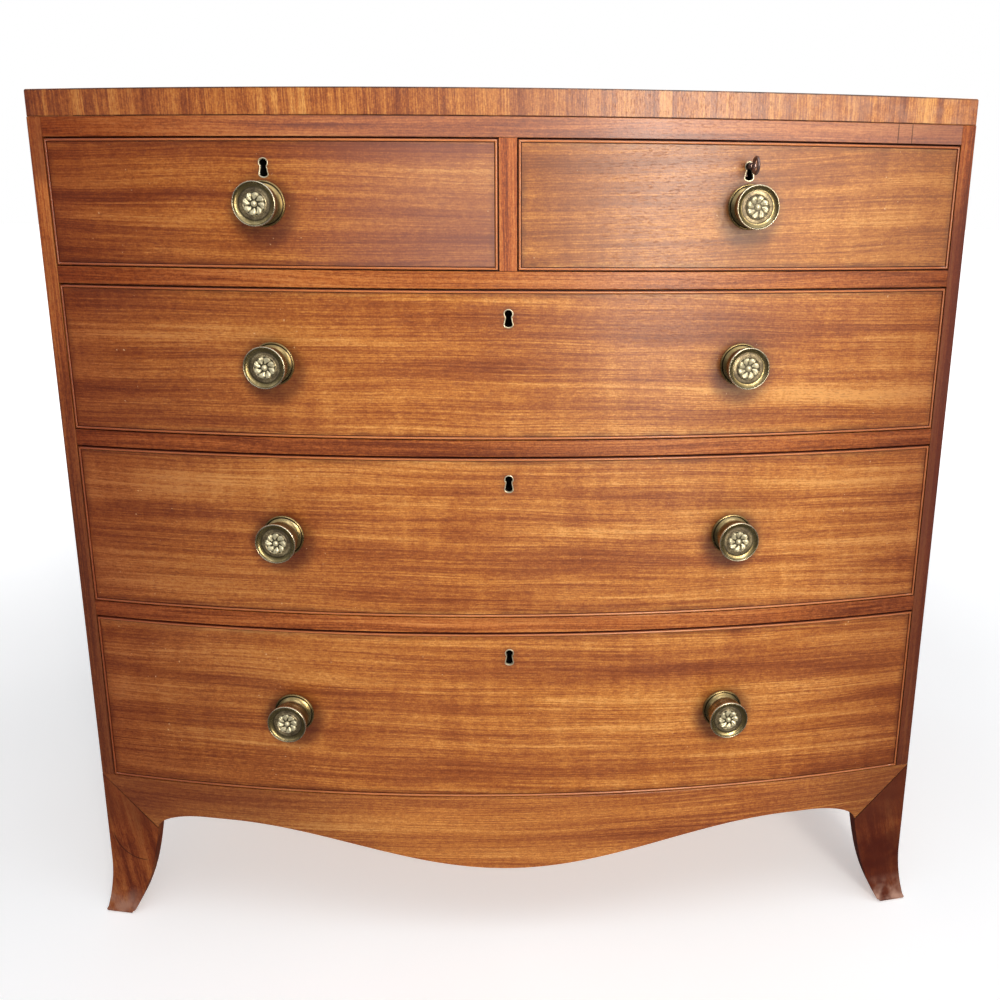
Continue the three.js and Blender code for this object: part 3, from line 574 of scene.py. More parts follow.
def knob_brass():
    """Aged brass of the knobs, with a painted shadow at the neck under the drum. Radius and height in
    millimetres tell where it is rubbed or dirty, and where the shadow lies.
    """
    look = Look("knob_brass")
    radius, height = look.x.reach(look.y) * (1 / MM), look.z * (1 / MM)
    cloud = look.place.noise(70.0, 4.0, 0.62)
    fine = look.place.noise(1100.0)
    value = (cloud - 0.5) * 1.2 + (fine - 0.5) * 0.6 + 0.5
    bell = height.fade(8.0, 6.0)
    in_dish = height.fade(24.9, 25.1)
    wall = in_dish * radius.fade(17.4, 18.6) * radius.fade(22.8, 22.3)
    rosette = in_dish * radius.fade(12.6, 12.2)
    worn = radius.fade(22.4, 23.3) * height.fade(25.0, 27.0)
    look.tones(value, KNOB_TONES)
    look.layer(height.fade(25.4, 23.8) * 0.55, "#7a6336")
    look.layer(bell * 0.3, "#a8905c")
    look.layer(radius.near(22.7, 0.3, 1.0) * bell * 0.95, "#1e150a")
    look.layer(wall * 0.5, "#8b7a4c")
    look.layer(radius.near(17.3, 0.3, 1.1) * in_dish * 0.7, "#2f2512")
    look.layer(rosette * 0.75, "#e2d6b0")
    look.layer(rosette * height.fade(26.4, 25.5) * 0.92, "#2a210e")
    # Painted shadow at the neck under the drum
    look.layer(height.near(9.4, 1.0, 3.6) * 0.85, "#231a0c")
    look.layer(worn * 0.5, "#e8dfc2")
    stipple = in_dish * radius.fade(18.0, 17.6)
    look.put("Metallic", stipple.fade(0.0, 1.0, 0.85, 0.55))
    look.put("Roughness", value.fade(0.3, 0.7, 0.36, 0.22) + worn * -0.05 + stipple * 0.1)
    look.bump(fine * (stipple + 0.4) + cloud, 0.35, 0.25 * MM)
    return look.finish()


# Mesh building
def skin(made, rings, closed=False):
    """Adds quads between rings of equal length. The ends are flat, or joined where closed."""
    rows = [[made.verts.new(point) for point in ring] for ring in rings]
    followers = rows[1:] + rows[:1] if closed else rows[1:]
    for first, second in zip(rows, followers):
        for i in range(len(first)):
            j = (i + 1) % len(first)
            made.faces.new((first[i], first[j], second[j], second[i]))
    if not closed:
        made.faces.new(rows[0])
        made.faces.new(rows[-1])
    bmesh.ops.recalc_face_normals(made, faces=made.faces)


def loft(rings, closed=False):
    made = bmesh.new()
    skin(made, rings, closed)
    return made


def turn_along_y(made, centre, profile, segments=16):
    """Adds a shape turned round +Y. profile gives radii and runs from the centre."""
    angles = [math.tau * i / segments for i in range(segments)]
    x, y, z = centre
    skin(made, [[(x + radius * math.cos(a), y + run, z + radius * math.sin(a)) for a in angles]
                for radius, run in profile])


def add_block(made, low, high):
    """Adds a box."""
    matrix = Matrix.LocRotScale((Vector(low) + Vector(high)) / 2, None, Vector(high) - Vector(low))
    bmesh.ops.create_cube(made, size=1, matrix=matrix)


def box_mesh(low, high):
    made = bmesh.new()
    add_block(made, low, high)
    return made


def arc(first, last, steps, across, up, drop=0.0):
    """Points of an ellipse between two angles in degrees."""
    turns = [math.radians(first + (last - first) * i / steps) for i in range(steps + 1)]
    return [(across * math.cos(turn), up * math.sin(turn) - drop) for turn in turns]


def rounded(corners, radius, steps=3):
    """A closed outline of 2D corners with each corner rounded, as far as its sides allow."""
    outline = []
    for i, here in enumerate(corners):
        here = Vector(here)
        to_last = Vector(corners[i - 1]) - here
        to_next = Vector(corners[(i + 1) % len(corners)]) - here
        reach = min(radius, to_last.length / 2.2, to_next.length / 2.2)
        start, end = here + to_last.normalized() * reach, here + to_next.normalized() * reach
        for step in range(steps + 1):
            t = step / steps
            outline.append(start * (1 - t) ** 2 + here * 2 * t * (1 - t) + end * t * t)
    return outline


def bow_member(places, section, arris):
    """A member along the bow. section gives its front, back, floor and ceiling at each x."""
    rings = []
    for x in places:
        front, back, floor, ceiling = section(x)
        corners = [(front, floor), (back, floor), (back, ceiling), (front, ceiling)]
        rings.append([(x, y, z) for y, z in rounded(corners, arris)])
    return loft(rings)


def smooth_faces(mesh, sharp=SHARP):
    """Shades a mesh smooth but for edges sharper than an angle in degrees."""
    for face in mesh.polygons:
        face.use_smooth = True
    mesh.set_sharp_from_angle(angle=math.radians(sharp))


def linked(name, data):
    piece = bpy.data.objects.new(name, data)
    bpy.context.scene.collection.objects.link(piece)
    return piece


def new_object(name, made, materials, *, body="root", stands_for=(), sharp=SHARP):
    """Turns a bmesh into a piece, smooth but for its sharp edges. It rides on a body, if that isn't None."""
    mesh = bpy.data.meshes.new(name)
    made.to_mesh(mesh)
    made.free()
    smooth_faces(mesh, sharp)
    for material in materials:
        mesh.materials.append(material)
    piece = linked(name, mesh)
    if body:
        modifier = piece.modifiers.new("flat faces", "WEIGHTED_NORMAL")
        modifier.keep_sharp = True
        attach(piece, body)
    if stands_for:
        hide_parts(*stands_for)
    return piece


def follow_bow(piece):
    """Gives the faces on the bow its exact normals, so that reflections run smoothly along it."""
    mesh = piece.data
    normals = [Vector((0, 0, 0))] * len(mesh.loops)
    for face in mesh.polygons:
        if face.normal.y < -0.7 and abs(face.normal.z) < 0.02:
            for loop in face.loop_indices:
                point = mesh.vertices[mesh.loops[loop].vertex_index].co
                normals[loop] = Vector((point.x, point.y - BOW_CENTRE, 0)).normalized()
    mesh.normals_split_custom_set(normals)
    piece.modifiers.clear()


def paint(piece, index, test):
    """Gives the faces that pass the test the piece's material at index."""
    for face in piece.data.polygons:
        if test(face):
            face.material_index = index


def faces_front(face):
    return face.normal.y < -0.7


def cutter(name, made):
    return new_object(name, made, (), body=None)


def cut(piece, *cutters):
    """Takes the cutters' volume out of the piece, then deletes the cutters."""
    for tool in cutters:
        modifier = piece.modifiers.new("cut", "BOOLEAN")
        modifier.operation = "DIFFERENCE"
        modifier.solver = "EXACT"
        modifier.object = tool
    bpy.context.view_layer.update()
    evaluated = piece.evaluated_get(bpy.context.evaluated_depsgraph_get())
    mesh = bpy.data.meshes.new_from_object(evaluated)
    piece.modifiers.clear()
    piece.data = mesh
    for tool in cutters:
        bpy.data.objects.remove(tool)
    smooth_faces(mesh)


# Top, sides, rails and back
def eased(x):
    """How far the top's faces draw in near its two worn ends."""
    run = max(TOP_EASE - (HALF_WIDTH - abs(x)), 0)
    return TOP_EASE - math.sqrt(TOP_EASE**2 - run * run)


def add_top():
    end = [HALF_WIDTH - TOP_EASE * share for share in EASE_SHARES]
    places = [*(-x for x in end), *stations(-end[-1], end[-1])[1:-1], *reversed(end)]

    def section(x):
        return bow(x) + eased(x), BACK_FACE - eased(x), TOP_LOW.z, TOP_HIGH.z - eased(x)

    made = bow_member(places, section, TOP_ARRIS)
    top = new_object("top", made, (TOP_FIELD, TOP_EDGE, TOP_SIDE), stands_for=["top_board"])
    paint(top, 1, faces_front)
    paint(top, 2, lambda face: abs(face.normal.x) > 0.7)
    follow_bow(top)


def arch_drop(distance):
    """How far the arch between an apron or skirt and a foot hangs down, from the foot's inner edge."""
    share = 1 - min(distance / ARCH_RUN, 1)
    return FOOT_TOP - (FOOT_TOP - APRON_ARCH_DROP) * math.sqrt(1 - share * share)


def arch_places():
    return [ARCH_RUN * (1 - math.cos(math.pi / 2 * i / ARCH_STEPS)) for i in range(ARCH_STEPS + 1)]


def side_outline(x):
    """The outline of a side board at x, as Y and Z, with its skirt mitred to both feet."""
    front = bow(x)
    rear_drop = BASE - BOTTOM_FLOOR
    front_inner, rear_inner = FRONT_CORNER + FOOT_TOP, BACK_FACE - FOOT_TOP
    arch = [(d, BASE - arch_drop(d) + SEAM) for d in arch_places()[1:]]
    return [
        (front, BASE + SEAM), (front_inner, BASE - FOOT_TOP + SEAM),
        *((front_inner + d, z) for d, z in arch), *((rear_inner - d, z) for d, z in reversed(arch)),
        (rear_inner, BASE - FOOT_TOP + SEAM), (BACK_FACE - rear_drop, BOTTOM_FLOOR + SEAM),
        (BACK_FACE, BOTTOM_FLOOR + SEAM), (BACK_FACE, TOP_LOW.z - SEAM), (front, TOP_LOW.z - SEAM),
    ]


def add_sides():
    depths = (SIDE_INNER, SIDE_INNER + MM, HALF_WIDTH - SIDE_ARRIS - MM, HALF_WIDTH)
    for word, side in SIDES:
        places = sorted(side * depth for depth in depths)
        made = loft([[(x, y, z) for y, z in side_outline(x)] for x in places])
        outer = [e for e in made.edges if all(abs(abs(v.co.x) - HALF_WIDTH) < SEAM for v in e.verts)]
        front = [e for e in outer if all(v.co.y < FRONT_CORNER + SEAM for v in e.verts)]
        bmesh.ops.bevel(made, geom=front, offset=STILE_ARRIS, segments=3, profile=0.5, affect="EDGES")
        piece = new_object(f"side_panel_{word}", made, (SIDE_WOOD, STILE_WOOD), stands_for=[f"side_{word}"])
        paint(piece, 1, faces_front)


def add_rail(name, node, material):
    low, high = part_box(node)
    made = bow_member(stations(low.x, high.x), lambda x: (bow(x), high.y, low.z, high.z), RAIL_ARRIS)
    return new_object(name, made, (material,), stands_for=[node])


def add_rails():
    """The rails, the divider, and the bolt's mortise in the top rail."""
    for i in (1, 2, 3):
        follow_bow(add_rail(f"rail_{i}", f"drawer_rail_{i}", RAIL_WOOD))
    rail = add_rail("top_front_rail", "top_rail", RAIL_WOOD)
    bolt_low, bolt_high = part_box("top_right_lock_bolt")
    room = Vector((MM, MM, MM))
    mortise_end = Vector((bolt_high.x, bolt_high.y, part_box("top_rail")[0].z + MORTISE_DEPTH))
    cut(rail, cutter("mortise", box_mesh(bolt_low - room, mortise_end + room)))
    follow_bow(rail)
    add_rail("divider", "centre_divider", DIVIDER_WOOD)


def apron_drop(x):
    """How far the apron hangs down at x: a wave in the middle, an arch, and a mitre at the foot."""
    reach = abs(x)
    if reach >= MITRE_START:
        return HALF_WIDTH - reach
    if reach > MITRE_START - ARCH_RUN:
        return arch_drop(MITRE_START - reach)
    mean = (APRON_CENTRE_DROP + APRON_ARCH_DROP) / 2
    swing = (APRON_CENTRE_DROP - APRON_ARCH_DROP) / 2
    return mean + swing * math.cos(math.pi * min(reach / APRON_WAVE_HALF, 1))


def add_apron():
    middle = stations(-(MITRE_START - ARCH_RUN), MITRE_START - ARCH_RUN, APRON_STATION)
    arch = [MITRE_START - d for d in reversed(arch_places()[:-1])]
    end = HALF_WIDTH - 2 * SEAM
    places = [*(-x for x in [end, *reversed(arch)]), *middle, *arch, end]

    def section(x):
        return bow(x), bow(x) + APRON_THICKNESS, BASE - max(apron_drop(x), 2 * SEAM), BASE - SEAM

    made = bow_member(places, section, SOFT_ARRIS)
    follow_bow(new_object("front_apron", made, (APRON_WOOD,), stands_for=["apron"]))


def add_back():
    """Planks with gaps between them. The inner face of every second one leans a little."""
    low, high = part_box("back_board")
    pitch = (high.z - low.z) / PLANKS
    made = bmesh.new()
    for i in range(PLANKS):
        floor = low.z + pitch * i + (PLANK_GAP / 2 if i else 0)
        ceiling = low.z + pitch * (i + 1) - (PLANK_GAP / 2 if i < PLANKS - 1 else 0)
        inner = low.y + PLANK_LEAN * (i % 2)
        corners = [(inner, floor), (high.y, floor), (high.y, ceiling), (low.y, ceiling)]
        outline = rounded(corners, SOFT_ARRIS, 2)
        skin(made, [[(x, y, z) for y, z in outline] for x in (low.x, high.x)])
    new_object("back_planks", made, (PINE_ALONG_X,), stands_for=["back_board"])


def add_glue_blocks():
    """Rubbed blocks in the corner between the apron's back and the bottom board."""
    size, flat = BLOCK_SIZE, 2 * MM
    outline = rounded([(0, 0), (0, -size), (flat, -size), (size, -flat), (size, 0)], MM)
    made = bmesh.new()
    for x in BLOCK_PLACES:
        turn = bow_turn(x)
        along, back = Vector((math.cos(turn), math.sin(turn))), Vector((-math.sin(turn), math.cos(turn)))
        corner = Vector((x, bow(x))) + back * (APRON_THICKNESS + 2 * SEAM)
        ends = [corner + along * half for half in (-BLOCK_LENGTH / 2, BLOCK_LENGTH / 2)]
        skin(made, [[(*(end + back * reach), BOTTOM_FLOOR + drop) for reach, drop in outline]
                    for end in ends])
    new_object("glue_blocks", made, (PINE_ALONG_X,))


# Feet: two wings at a corner, which narrow to the toe and flare out near the floor
def foot_width(drop):
    share = max((drop - FOOT_TOP) / (BASE - FOOT_TOP), 0)
    lean = FOOT_LEAN_SHARE * share + (1 - FOOT_LEAN_SHARE) * share**3
    return FOOT_TOP - (FOOT_TOP - FOOT_TOE) * lean


def flare_at(drop):
    share = (drop / BASE - FLARE_START_SHARE) / (1 - FLARE_START_SHARE)
    return FOOT_FLARE * max(share, 0) ** FLARE_POWER


def foot_ring(side, is_front, drop, top=False):
    """One level of a foot. Its top level follows the mitres to the apron and the skirt."""
    width, flare = foot_width(drop), flare_at(drop)
    bracket = APRON_THICKNESS if is_front else REAR_BRACKET
    forward = flare if is_front else 0
    corners = [(-flare, -forward), (width, -forward), (width, bracket - forward),
               (SIDE_THICKNESS - flare, bracket - forward), (SIDE_THICKNESS - flare, width), (-flare, width)]
    ring = []
    for inward, back in rounded(corners, SOFT_ARRIS):
        on_wing = back < bracket
        x = HALF_WIDTH - inward
        z = BASE - drop
        if is_front:
            y = back + (bow(min(x, HALF_WIDTH)) if on_wing else FRONT_CORNER)
            if top:
                z = BASE - max(inward, back if not on_wing or inward < SIDE_THICKNESS else 0, 0) - SEAM
        else:
            y = BACK_FACE - back
            if top:
                z = min(BASE - max(back, 0), BOTTOM_FLOOR) - SEAM
        ring.append((side * x, y, z))
    return ring


def worn_toe(ring):
    """The toe's rounded end: its last outlines draw in towards their middle."""
    centre = sum((Vector(point) for point in ring), Vector()) / len(ring)
    return [
        [(centre.x + (x - centre.x) * share, centre.y + (y - centre.y) * share, height) for x, y, z in ring]
        for height, share in TOE_WEAR
    ]


def add_feet():
    start = FOOT_TOP + MM
    drops = [start + (BASE - start) * i / FOOT_LEVELS for i in range(FOOT_LEVELS)]
    for word, side in SIDES:
        for end, is_front in (("front", True), ("rear", False)):
            rings = [foot_ring(side, is_front, FOOT_TOP, top=True)]
            rings += [foot_ring(side, is_front, drop) for drop in drops]
            rings += worn_toe(foot_ring(side, is_front, BASE))
            new_object(f"{end}_foot_{word}", loft(rings), (FOOT_WOOD,), stands_for=[f"foot_{end}_{word}"])


# Drawer fronts
def knob_axis(node):
    """Where a knob's axis meets the bow: every front normal passes through the bow's centre."""
    points = [v.co for v in frame["nodes"][node].data.vertices]
    middle = sum(points, Vector()) / len(points)
    turn = math.atan2(middle.x, BOW_CENTRE - middle.y)
    low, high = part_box(node)
    return BOW_RADIUS * math.sin(turn), (low.z + high.z) / 2


def keyhole_place(name):
    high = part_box(f"{name}_drawer_front")[1]
    x = {"top_left": -KEY_PLACE.x, "top_right": KEY_PLACE.x}.get(name, 0.0)
    return x, high.z - KEY_DROP


def keyhole_outline(x, z, wall):
    """A round head over a flared slot, widened all round by wall."""
    head, slot = KEYHOLE_RADIUS + wall, KEYHOLE_SLOT_RADIUS + wall
    foot = KEYHOLE_SLOT_RADIUS * KEYHOLE_FOOT_SHARE + wall
    waist = KEYHOLE_WAIST / 2 + wall
    points = [
        *arc(-46, 226, 18, head, head), (-waist, -KEYHOLE_WAIST_DROP),
        *arc(180, 360, 14, slot, foot, KEYHOLE_SLOT_DROP), (waist, -KEYHOLE_WAIST_DROP),
    ]
    return [(x + px, z + pz) for px, pz in points]


def frame_sweep(low, high, profile):
    """A mitred frame round a drawer front. profile gives insets from the edge and heights off the face."""
    rings = []
    centre = (low.x + high.x) / 2
    for inset, proud in profile:
        squeeze = (high.x - low.x - 2 * inset) / (high.x - low.x)
        xs = [centre + (x - centre) * squeeze for x in stations(low.x, high.x)]
        path = [(x, low.z + inset) for x in xs] + [(x, high.z - inset) for x in reversed(xs)]
        rings.append([(x, bow(x) - proud, z) for x, z in path])
    return loft(rings, closed=True)


def bead_profile():
    """A half round between two narrow quirks, whose faces are painted dark as shade so that they read as dark
    lines.
    """
    low, high = SEAM / 2, BEAD_WIDTH - SEAM / 2
    left, right = low + OUTER_QUIRK, high - QUIRK
    middle, half = (left + right) / 2, (right - left) / 2
    crown = [(middle + x, BEAD_PROUD * (0.3 + rise)) for x, rise in arc(180, 0, 8, half, 0.7)]
    return [(low, -BEAD_DEPTH), (low, -QUIRK), (left, -QUIRK), (left, 0), *crown,
            (right, 0), (right, -QUIRK), (high, -QUIRK), (high, -BEAD_DEPTH)]


def front_cutters(name, low, high):
    """What is cut out of a drawer front: the bead's rebate, the keyhole and the lock's pocket."""
    inner, deep = BEAD_WIDTH + SEAM / 3, -BEAD_DEPTH - SEAM
    rebate = [(-CLEARANCE, CLEARANCE), (-CLEARANCE, deep), (inner, deep), (inner, CLEARANCE)]
    x, z = keyhole_place(name)
    outline = keyhole_outline(x, z, LINER_WALL + SEAM / 3)
    hole = loft([[(px, y, pz) for px, pz in outline]
                 for y in (bow(x) - CLEARANCE, bow(x) + FRONT_THICKNESS + CLEARANCE)])
    case_low, case_high = lock_box(name)
    slack = Vector((SEAM, SEAM, SEAM))
    pocket = box_mesh(case_low - slack, case_high + Vector((SEAM, 4 * CLEARANCE, 4 * CLEARANCE)))
    return cutter("rebate", frame_sweep(low, high, rebate)), cutter("hole", hole), cutter("pocket", pocket)


def add_drawer_front(name, veneer):
    """A bowed front with its cockbead. Its sides, back and dovetailed ends have their own woods, and the
    walls round the keyhole are painted dark as shade.
    """
    low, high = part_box(f"{name}_drawer_front")
    made = bow_member(stations(low.x, high.x), lambda x: (bow(x), bow(x) + FRONT_THICKNESS, low.z, high.z),
                      FRONT_ARRIS)
    joint_wood = wood(f"{name}_front_end", PINE, "X", (0.3, 4.1), bands=0.7, roughness=0.7, specular=0.3,
                      marks=dovetail_marks(low, high))
    front = new_object(f"{name}_front", made, (veneer, CORE_WOOD, HOLE_SHADE, joint_wood),
                       body=f"{name}_drawer", stands_for=[f"{name}_drawer_front"])
    cut(front, *front_cutters(name, low, high))
    x, z = keyhole_place(name)
    paint(front, 1, lambda face: not faces_front(face))
    across, up = HOLE_WALL_REACH
    # Painted shade: the walls round the keyhole get the dark material
    paint(front, 2, lambda face: abs(face.center.x - x) < across and abs(face.normal.y) < 0.2
          and abs(face.center.z - z + KEYHOLE_SLOT_DROP / 2) < up)
    paint(front, 3, lambda face: abs(face.normal.x) > 0.9 and abs(face.center.x - x) > 0.1)
    follow_bow(front)

    made = frame_sweep(*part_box(f"{name}_drawer_bead"), bead_profile())
    bead = new_object(f"{name}_bead", made, (BEAD_WOOD, QUIRK_SHADE), body=f"{name}_drawer",
                      stands_for=[f"{name}_drawer_bead"], sharp=50)
    # Painted shade: the quirks' faces get the dark material
    paint(bead, 1, lambda face: face.center.y > bow(face.center.x) + 0.1 * MM)


def add_liner(name):
    """The brass collar of a keyhole, with a softly rounded lip."""
    x, z = keyhole_place(name)
    lip = [(0.0, LINER_DEPTH), (0.0, 0.15 * MM), (0.3 * MM, -0.15 * MM), (1.0 * MM, -0.22 * MM),
           (LINER_WALL, 0.02 * MM), (LINER_WALL, LINER_DEPTH)]
    rings = [[(px, bow(x) + depth, pz) for px, pz in keyhole_outline(x, z, wall)] for wall, depth in lip]
    stands_for = ["top_right_keyhole_liner"] if name == "top_right" else ()
    new_object(f"{name}_liner", loft(rings, closed=True), (LINER_BRASS,), body=f"{name}_drawer",
               stands_for=stands_for, sharp=50)


# Locks
def lock_box(name):
    """The lock's place behind each keyhole, as in the top right drawer."""
    low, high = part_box("top_right_lock_case")
    x, z = keyhole_place(name)
    move = Vector((x - KEY_PLACE.x, bow(x) - bow(KEY_PLACE.x), z - KEY_PLACE.z))
    return low + move, high + move


def case_blocks(low, high, left, right, slot_front, slot_back):
    """The plates of a lock's case, which is open to the front. Its top has a slot for the bolt."""
    back, ceiling = high.y - LOCK_PLATE, high.z - LOCK_PLATE
    return (
        ((low.x, back, low.z), high),
        ((low.x, low.y, low.z), (low.x + LOCK_PLATE, back, ceiling)),
        ((high.x - LOCK_PLATE, low.y, low.z), (high.x, back, ceiling)),
        ((low.x + LOCK_PLATE, low.y, low.z), (high.x - LOCK_PLATE, back, low.z + LOCK_PLATE)),
        ((low.x, low.y, ceiling), (left, back, high.z)),
        ((right, low.y, ceiling), (high.x, back, high.z)),
        ((left, low.y, ceiling), (right, slot_front, high.z)),
        ((left, slot_back, ceiling), (right, back, high.z)),
    )


def rivet(radius, height):
    """The profile of a domed head."""
    return (radius, 0), (radius, height * 0.4), (radius * 0.8, height * 0.8), (radius * 0.35, height)


def add_lock(name):
    """A lock case with its rivets and the pin that the key turns on, its inside painted dark as shade. The
    other locks get a bolt too.
    """
    low, high = lock_box(name)
    x, z = keyhole_place(name)
    bolt_low, bolt_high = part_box("top_right_lock_bolt")
    bolt_half = (bolt_high.x - bolt_low.x) / 2
    bolt_back = bow(x) - bow(KEY_PLACE.x) + bolt_high.y
    bolt_front = bolt_back - BOLT_THICKNESS
    slot_half = bolt_half + BOLT_PLAY
    made = bmesh.new()
    for corner, opposite in case_blocks(low, high, x - slot_half, x + slot_half, bolt_front - BOLT_PLAY,
                                        bolt_back + BOLT_PLAY / 2):
        add_block(made, corner, opposite)
    for px in (low.x + RIVET_INSET, high.x - RIVET_INSET):
        for pz in (low.z + RIVET_INSET, high.z - 1.5 * RIVET_INSET):
            turn_along_y(made, (px, high.y, pz), rivet(*CORNER_RIVET))
    turn_along_y(made, (x, high.y, z), rivet(*PIN_HEAD))
    pin = (PIN_RADIUS, 0), (PIN_RADIUS, high.y - low.y - LOCK_PLATE)
    turn_along_y(made, (x, low.y + MM / 2, z), pin)
    stands_for = ["top_right_lock_case"] if name == "top_right" else ()
    lock = new_object(f"{name}_lock", made, (LOCK_BRASS, HOLE_SHADE), body=f"{name}_drawer",
                      stands_for=stands_for)
    # Painted shade on the faces inside the case
    paint(lock, 1, lambda face: face.center.y < high.y - LOCK_PLATE / 2
          and face.center.z < high.z - 1.5 * LOCK_PLATE)
    if name != "top_right":
        bolt = box_mesh((x - bolt_half, bolt_front, z + BOLT_RISE),
                        (x + bolt_half, bolt_back, high.z - BOLT_TOP_GAP))
        new_object(f"{name}_bolt", bolt, (BOLT_STEEL,), body=f"{name}_drawer")


# Key
def key_loop(centre):
    """Rings along the key's oval bow, which is thickest where it meets the shank."""
    long_way, high_way = (size - KEY_WIRE for size in KEY_BOW)
    angles = [math.tau * i / KEY_WIRE_SEGMENTS for i in range(KEY_WIRE_SEGMENTS)]
    rings = []
    for i in range(KEY_BOW_RINGS):
        turn = math.tau * i / KEY_BOW_RINGS
        middle = centre + Vector((0, long_way / 2 * math.cos(turn), high_way / 2 * math.sin(turn)))
        outward = Vector((0, math.cos(turn) / long_way, math.sin(turn) / high_way)).normalized()
        thick = KEY_WIRE / 2 * (1 + 0.12 * math.cos(turn))
        rings.append([middle + outward * thick * math.cos(a) + Vector((KEY_BOW_HALF * math.sin(a), 0, 0))
                      for a in angles])
    return rings


def add_key():
    """The key: an oval bow, a moulded shank that is bored at its end, and a bit in the lock."""
    low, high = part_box("key")
    x, z = KEY_PLACE.x, KEY_PLACE.z
    made = bmesh.new()
    skin(made, key_loop(Vector((x, low.y + KEY_BOW[0] / 2, z))), closed=True)
    start = low.y + KEY_BOW[0] - KEY_WIRE / 2
    length = high.y - start
    bore, bore_depth = KEY_BORE
    profile = [(radius * MM, run * MM) for radius, run in KEY_MOULDING]
    profile += [(KEY_SHANK, length), (bore, length), (bore, length - bore_depth)]
    turn_along_y(made, (x, start, z), profile, SHANK_SEGMENTS)
    case_front = lock_box("top_right")[0].y
    add_block(made, (x - KEY_BIT_HALF, case_front + KEY_BIT_START, max(low.z, z - KEY_BIT_DROP)),
              (x + KEY_BIT_HALF, case_front + KEY_BIT_END, z - KEY_BIT_ROOT))
    new_object("drawer_key", made, (KEY_STEEL,), body="key", stands_for=["key"], sharp=45)


# Knobs: one turned shape with a swirling rosette, in millimetres as radius and height
KNOB_PLATE = ((3.5, -24), (3.5, 0.2), (24.6, 0.2), (25.0, 1.0), (24.9, 1.9), (24.3, 2.6), (23.5, 2.7),
              (22.9, 2.4))
KNOB_BELL = ((22.4, 2.6), (20.9, 3.6), (19.4, 5.0), (18.3, 6.9), (17.8, 8.8))
KNOB_DRUM = ((17.6, 9.8), (18.4, 10.5), (20.2, 11.5), (21.3, 13.2), (21.4, 15.2), (20.7, 17.4), (20.2, 19.6),
             (20.7, 22.0))
KNOB_RIM = ((22.8, 24.4), (23.8, 25.8), (24.0, 27.2), (23.8, 28.2), (23.2, 28.6), (22.6, 28.3), (22.4, 27.6))
KNOB_DISH = ((22.2, 27.0), (20.9, 26.1), (18.8, 25.4), (17.6, 25.2), (17.1, 25.3), (13.9, 25.3), (13.5, 26.0),
             (12.9, 26.2), (12.3, 25.7))
KNOB_SEGMENTS = 144
NUT_SEGMENTS = 32
NUT_CORNER = 1.32
DISH_FLOOR = 25.3
PETALS = 8
PETAL_SWIRL = 0.045
PETAL_ROOT, PETAL_TIP = 4.4, 12.0
ROSETTE_BEAD = 3.2
ROSETTE_RADIUS = 12.1
ROSETTE_RINGS = 25


def smooth_line(points, steps=3):
    """A Catmull-Rom line through the points."""
    def between(a, b, c, d, t):
        bend, twist = 2 * a - 5 * b + 4 * c - d, 3 * b - a - 3 * c + d
        return (2 * b + (c - a) * t + bend * t * t + twist * t**3) / 2

    padded = [points[0], *points, points[-1]]
    line = [tuple(between(*values, step / steps) for values in zip(*four))
            for four in zip(padded, padded[1:], padded[2:], padded[3:]) for step in range(steps)]
    return [*line, points[-1]]


def rosette_height(radius, angle):
    """Eight plump petals round a bead. They swirl a little, and deep gaps part them."""
    if radius < ROSETTE_BEAD:
        return DISH_FLOOR + 0.9 + 0.8 * math.sqrt(ROSETTE_BEAD**2 - radius**2)
    turn = angle / math.tau * PETALS + PETAL_SWIRL * (radius - ROSETTE_BEAD)
    across = 2 * (turn - math.floor(turn)) - 1
    along = (radius - PETAL_ROOT) / (PETAL_TIP - PETAL_ROOT)
    if not 0 < along < 1:
        return DISH_FLOOR + 0.1
    half = 0.55 + 0.42 * smoothstep(0, 0.6, along)
    half *= math.sqrt(1 - (max(along - 0.72, 0) / 0.28) ** 2)
    dome = max(1 - (across / max(half, 0.01)) ** 2, 0) ** 0.5
    rise = 0.9 + 1.5 * smoothstep(0, 0.7, along)
    fold = 0.5 * math.exp(-(((across + 0.25) / 0.16) ** 2)) * smoothstep(0.1, 0.5, along)
    return DISH_FLOOR + 0.1 + dome * (rise - fold)


def turned(rings, angles):
    """A closed shape round +Z. Each ring gives a radius and a height in millimetres for every angle."""
    return loft([[
        Vector((radius * math.cos(a), radius * math.sin(a), height)) * MM
        for a, (radius, height) in zip(angles, ring)
    ] for ring in rings])


def knob_mesh():
    """Back plate, post, bell, drum, rim and dish, with the rosette in the dish."""
    angles = [math.tau * i / KNOB_SEGMENTS for i in range(KNOB_SEGMENTS)]
    curves = [*smooth_line(KNOB_BELL), *smooth_line(KNOB_DRUM), *smooth_line(KNOB_RIM)]
    rings = [[point] * KNOB_SEGMENTS for point in (*KNOB_PLATE, *curves, *KNOB_DISH)]
    for i in range(1, ROSETTE_RINGS):
        radius = ROSETTE_RADIUS * (1 - i / ROSETTE_RINGS)
        rings.append([(radius, rosette_height(radius, angle)) for angle in angles])
    return turned(rings, angles)


def nut_mesh():
    """A washer, a square nut and the end of the knob's screw, behind the drawer front."""
    angles = [math.tau * (i + 0.5) / NUT_SEGMENTS for i in range(NUT_SEGMENTS)]

    def circle(radius, height):
        return [(radius, height)] * NUT_SEGMENTS

    def square(half, height):
        reaches = [half / max(abs(math.cos(a)), abs(math.sin(a))) for a in angles]
        return [(min(reach, NUT_CORNER * half), height) for reach in reaches]

    return turned([
        circle(9.0, -24.05), circle(9.0, -24.9), circle(8.5, -25.2), square(5.4, -25.25), square(5.4, -29.2),
        square(4.9, -29.7), circle(2.7, -29.7), circle(2.7, -32.0), circle(2.2, -32.5),
    ], angles)


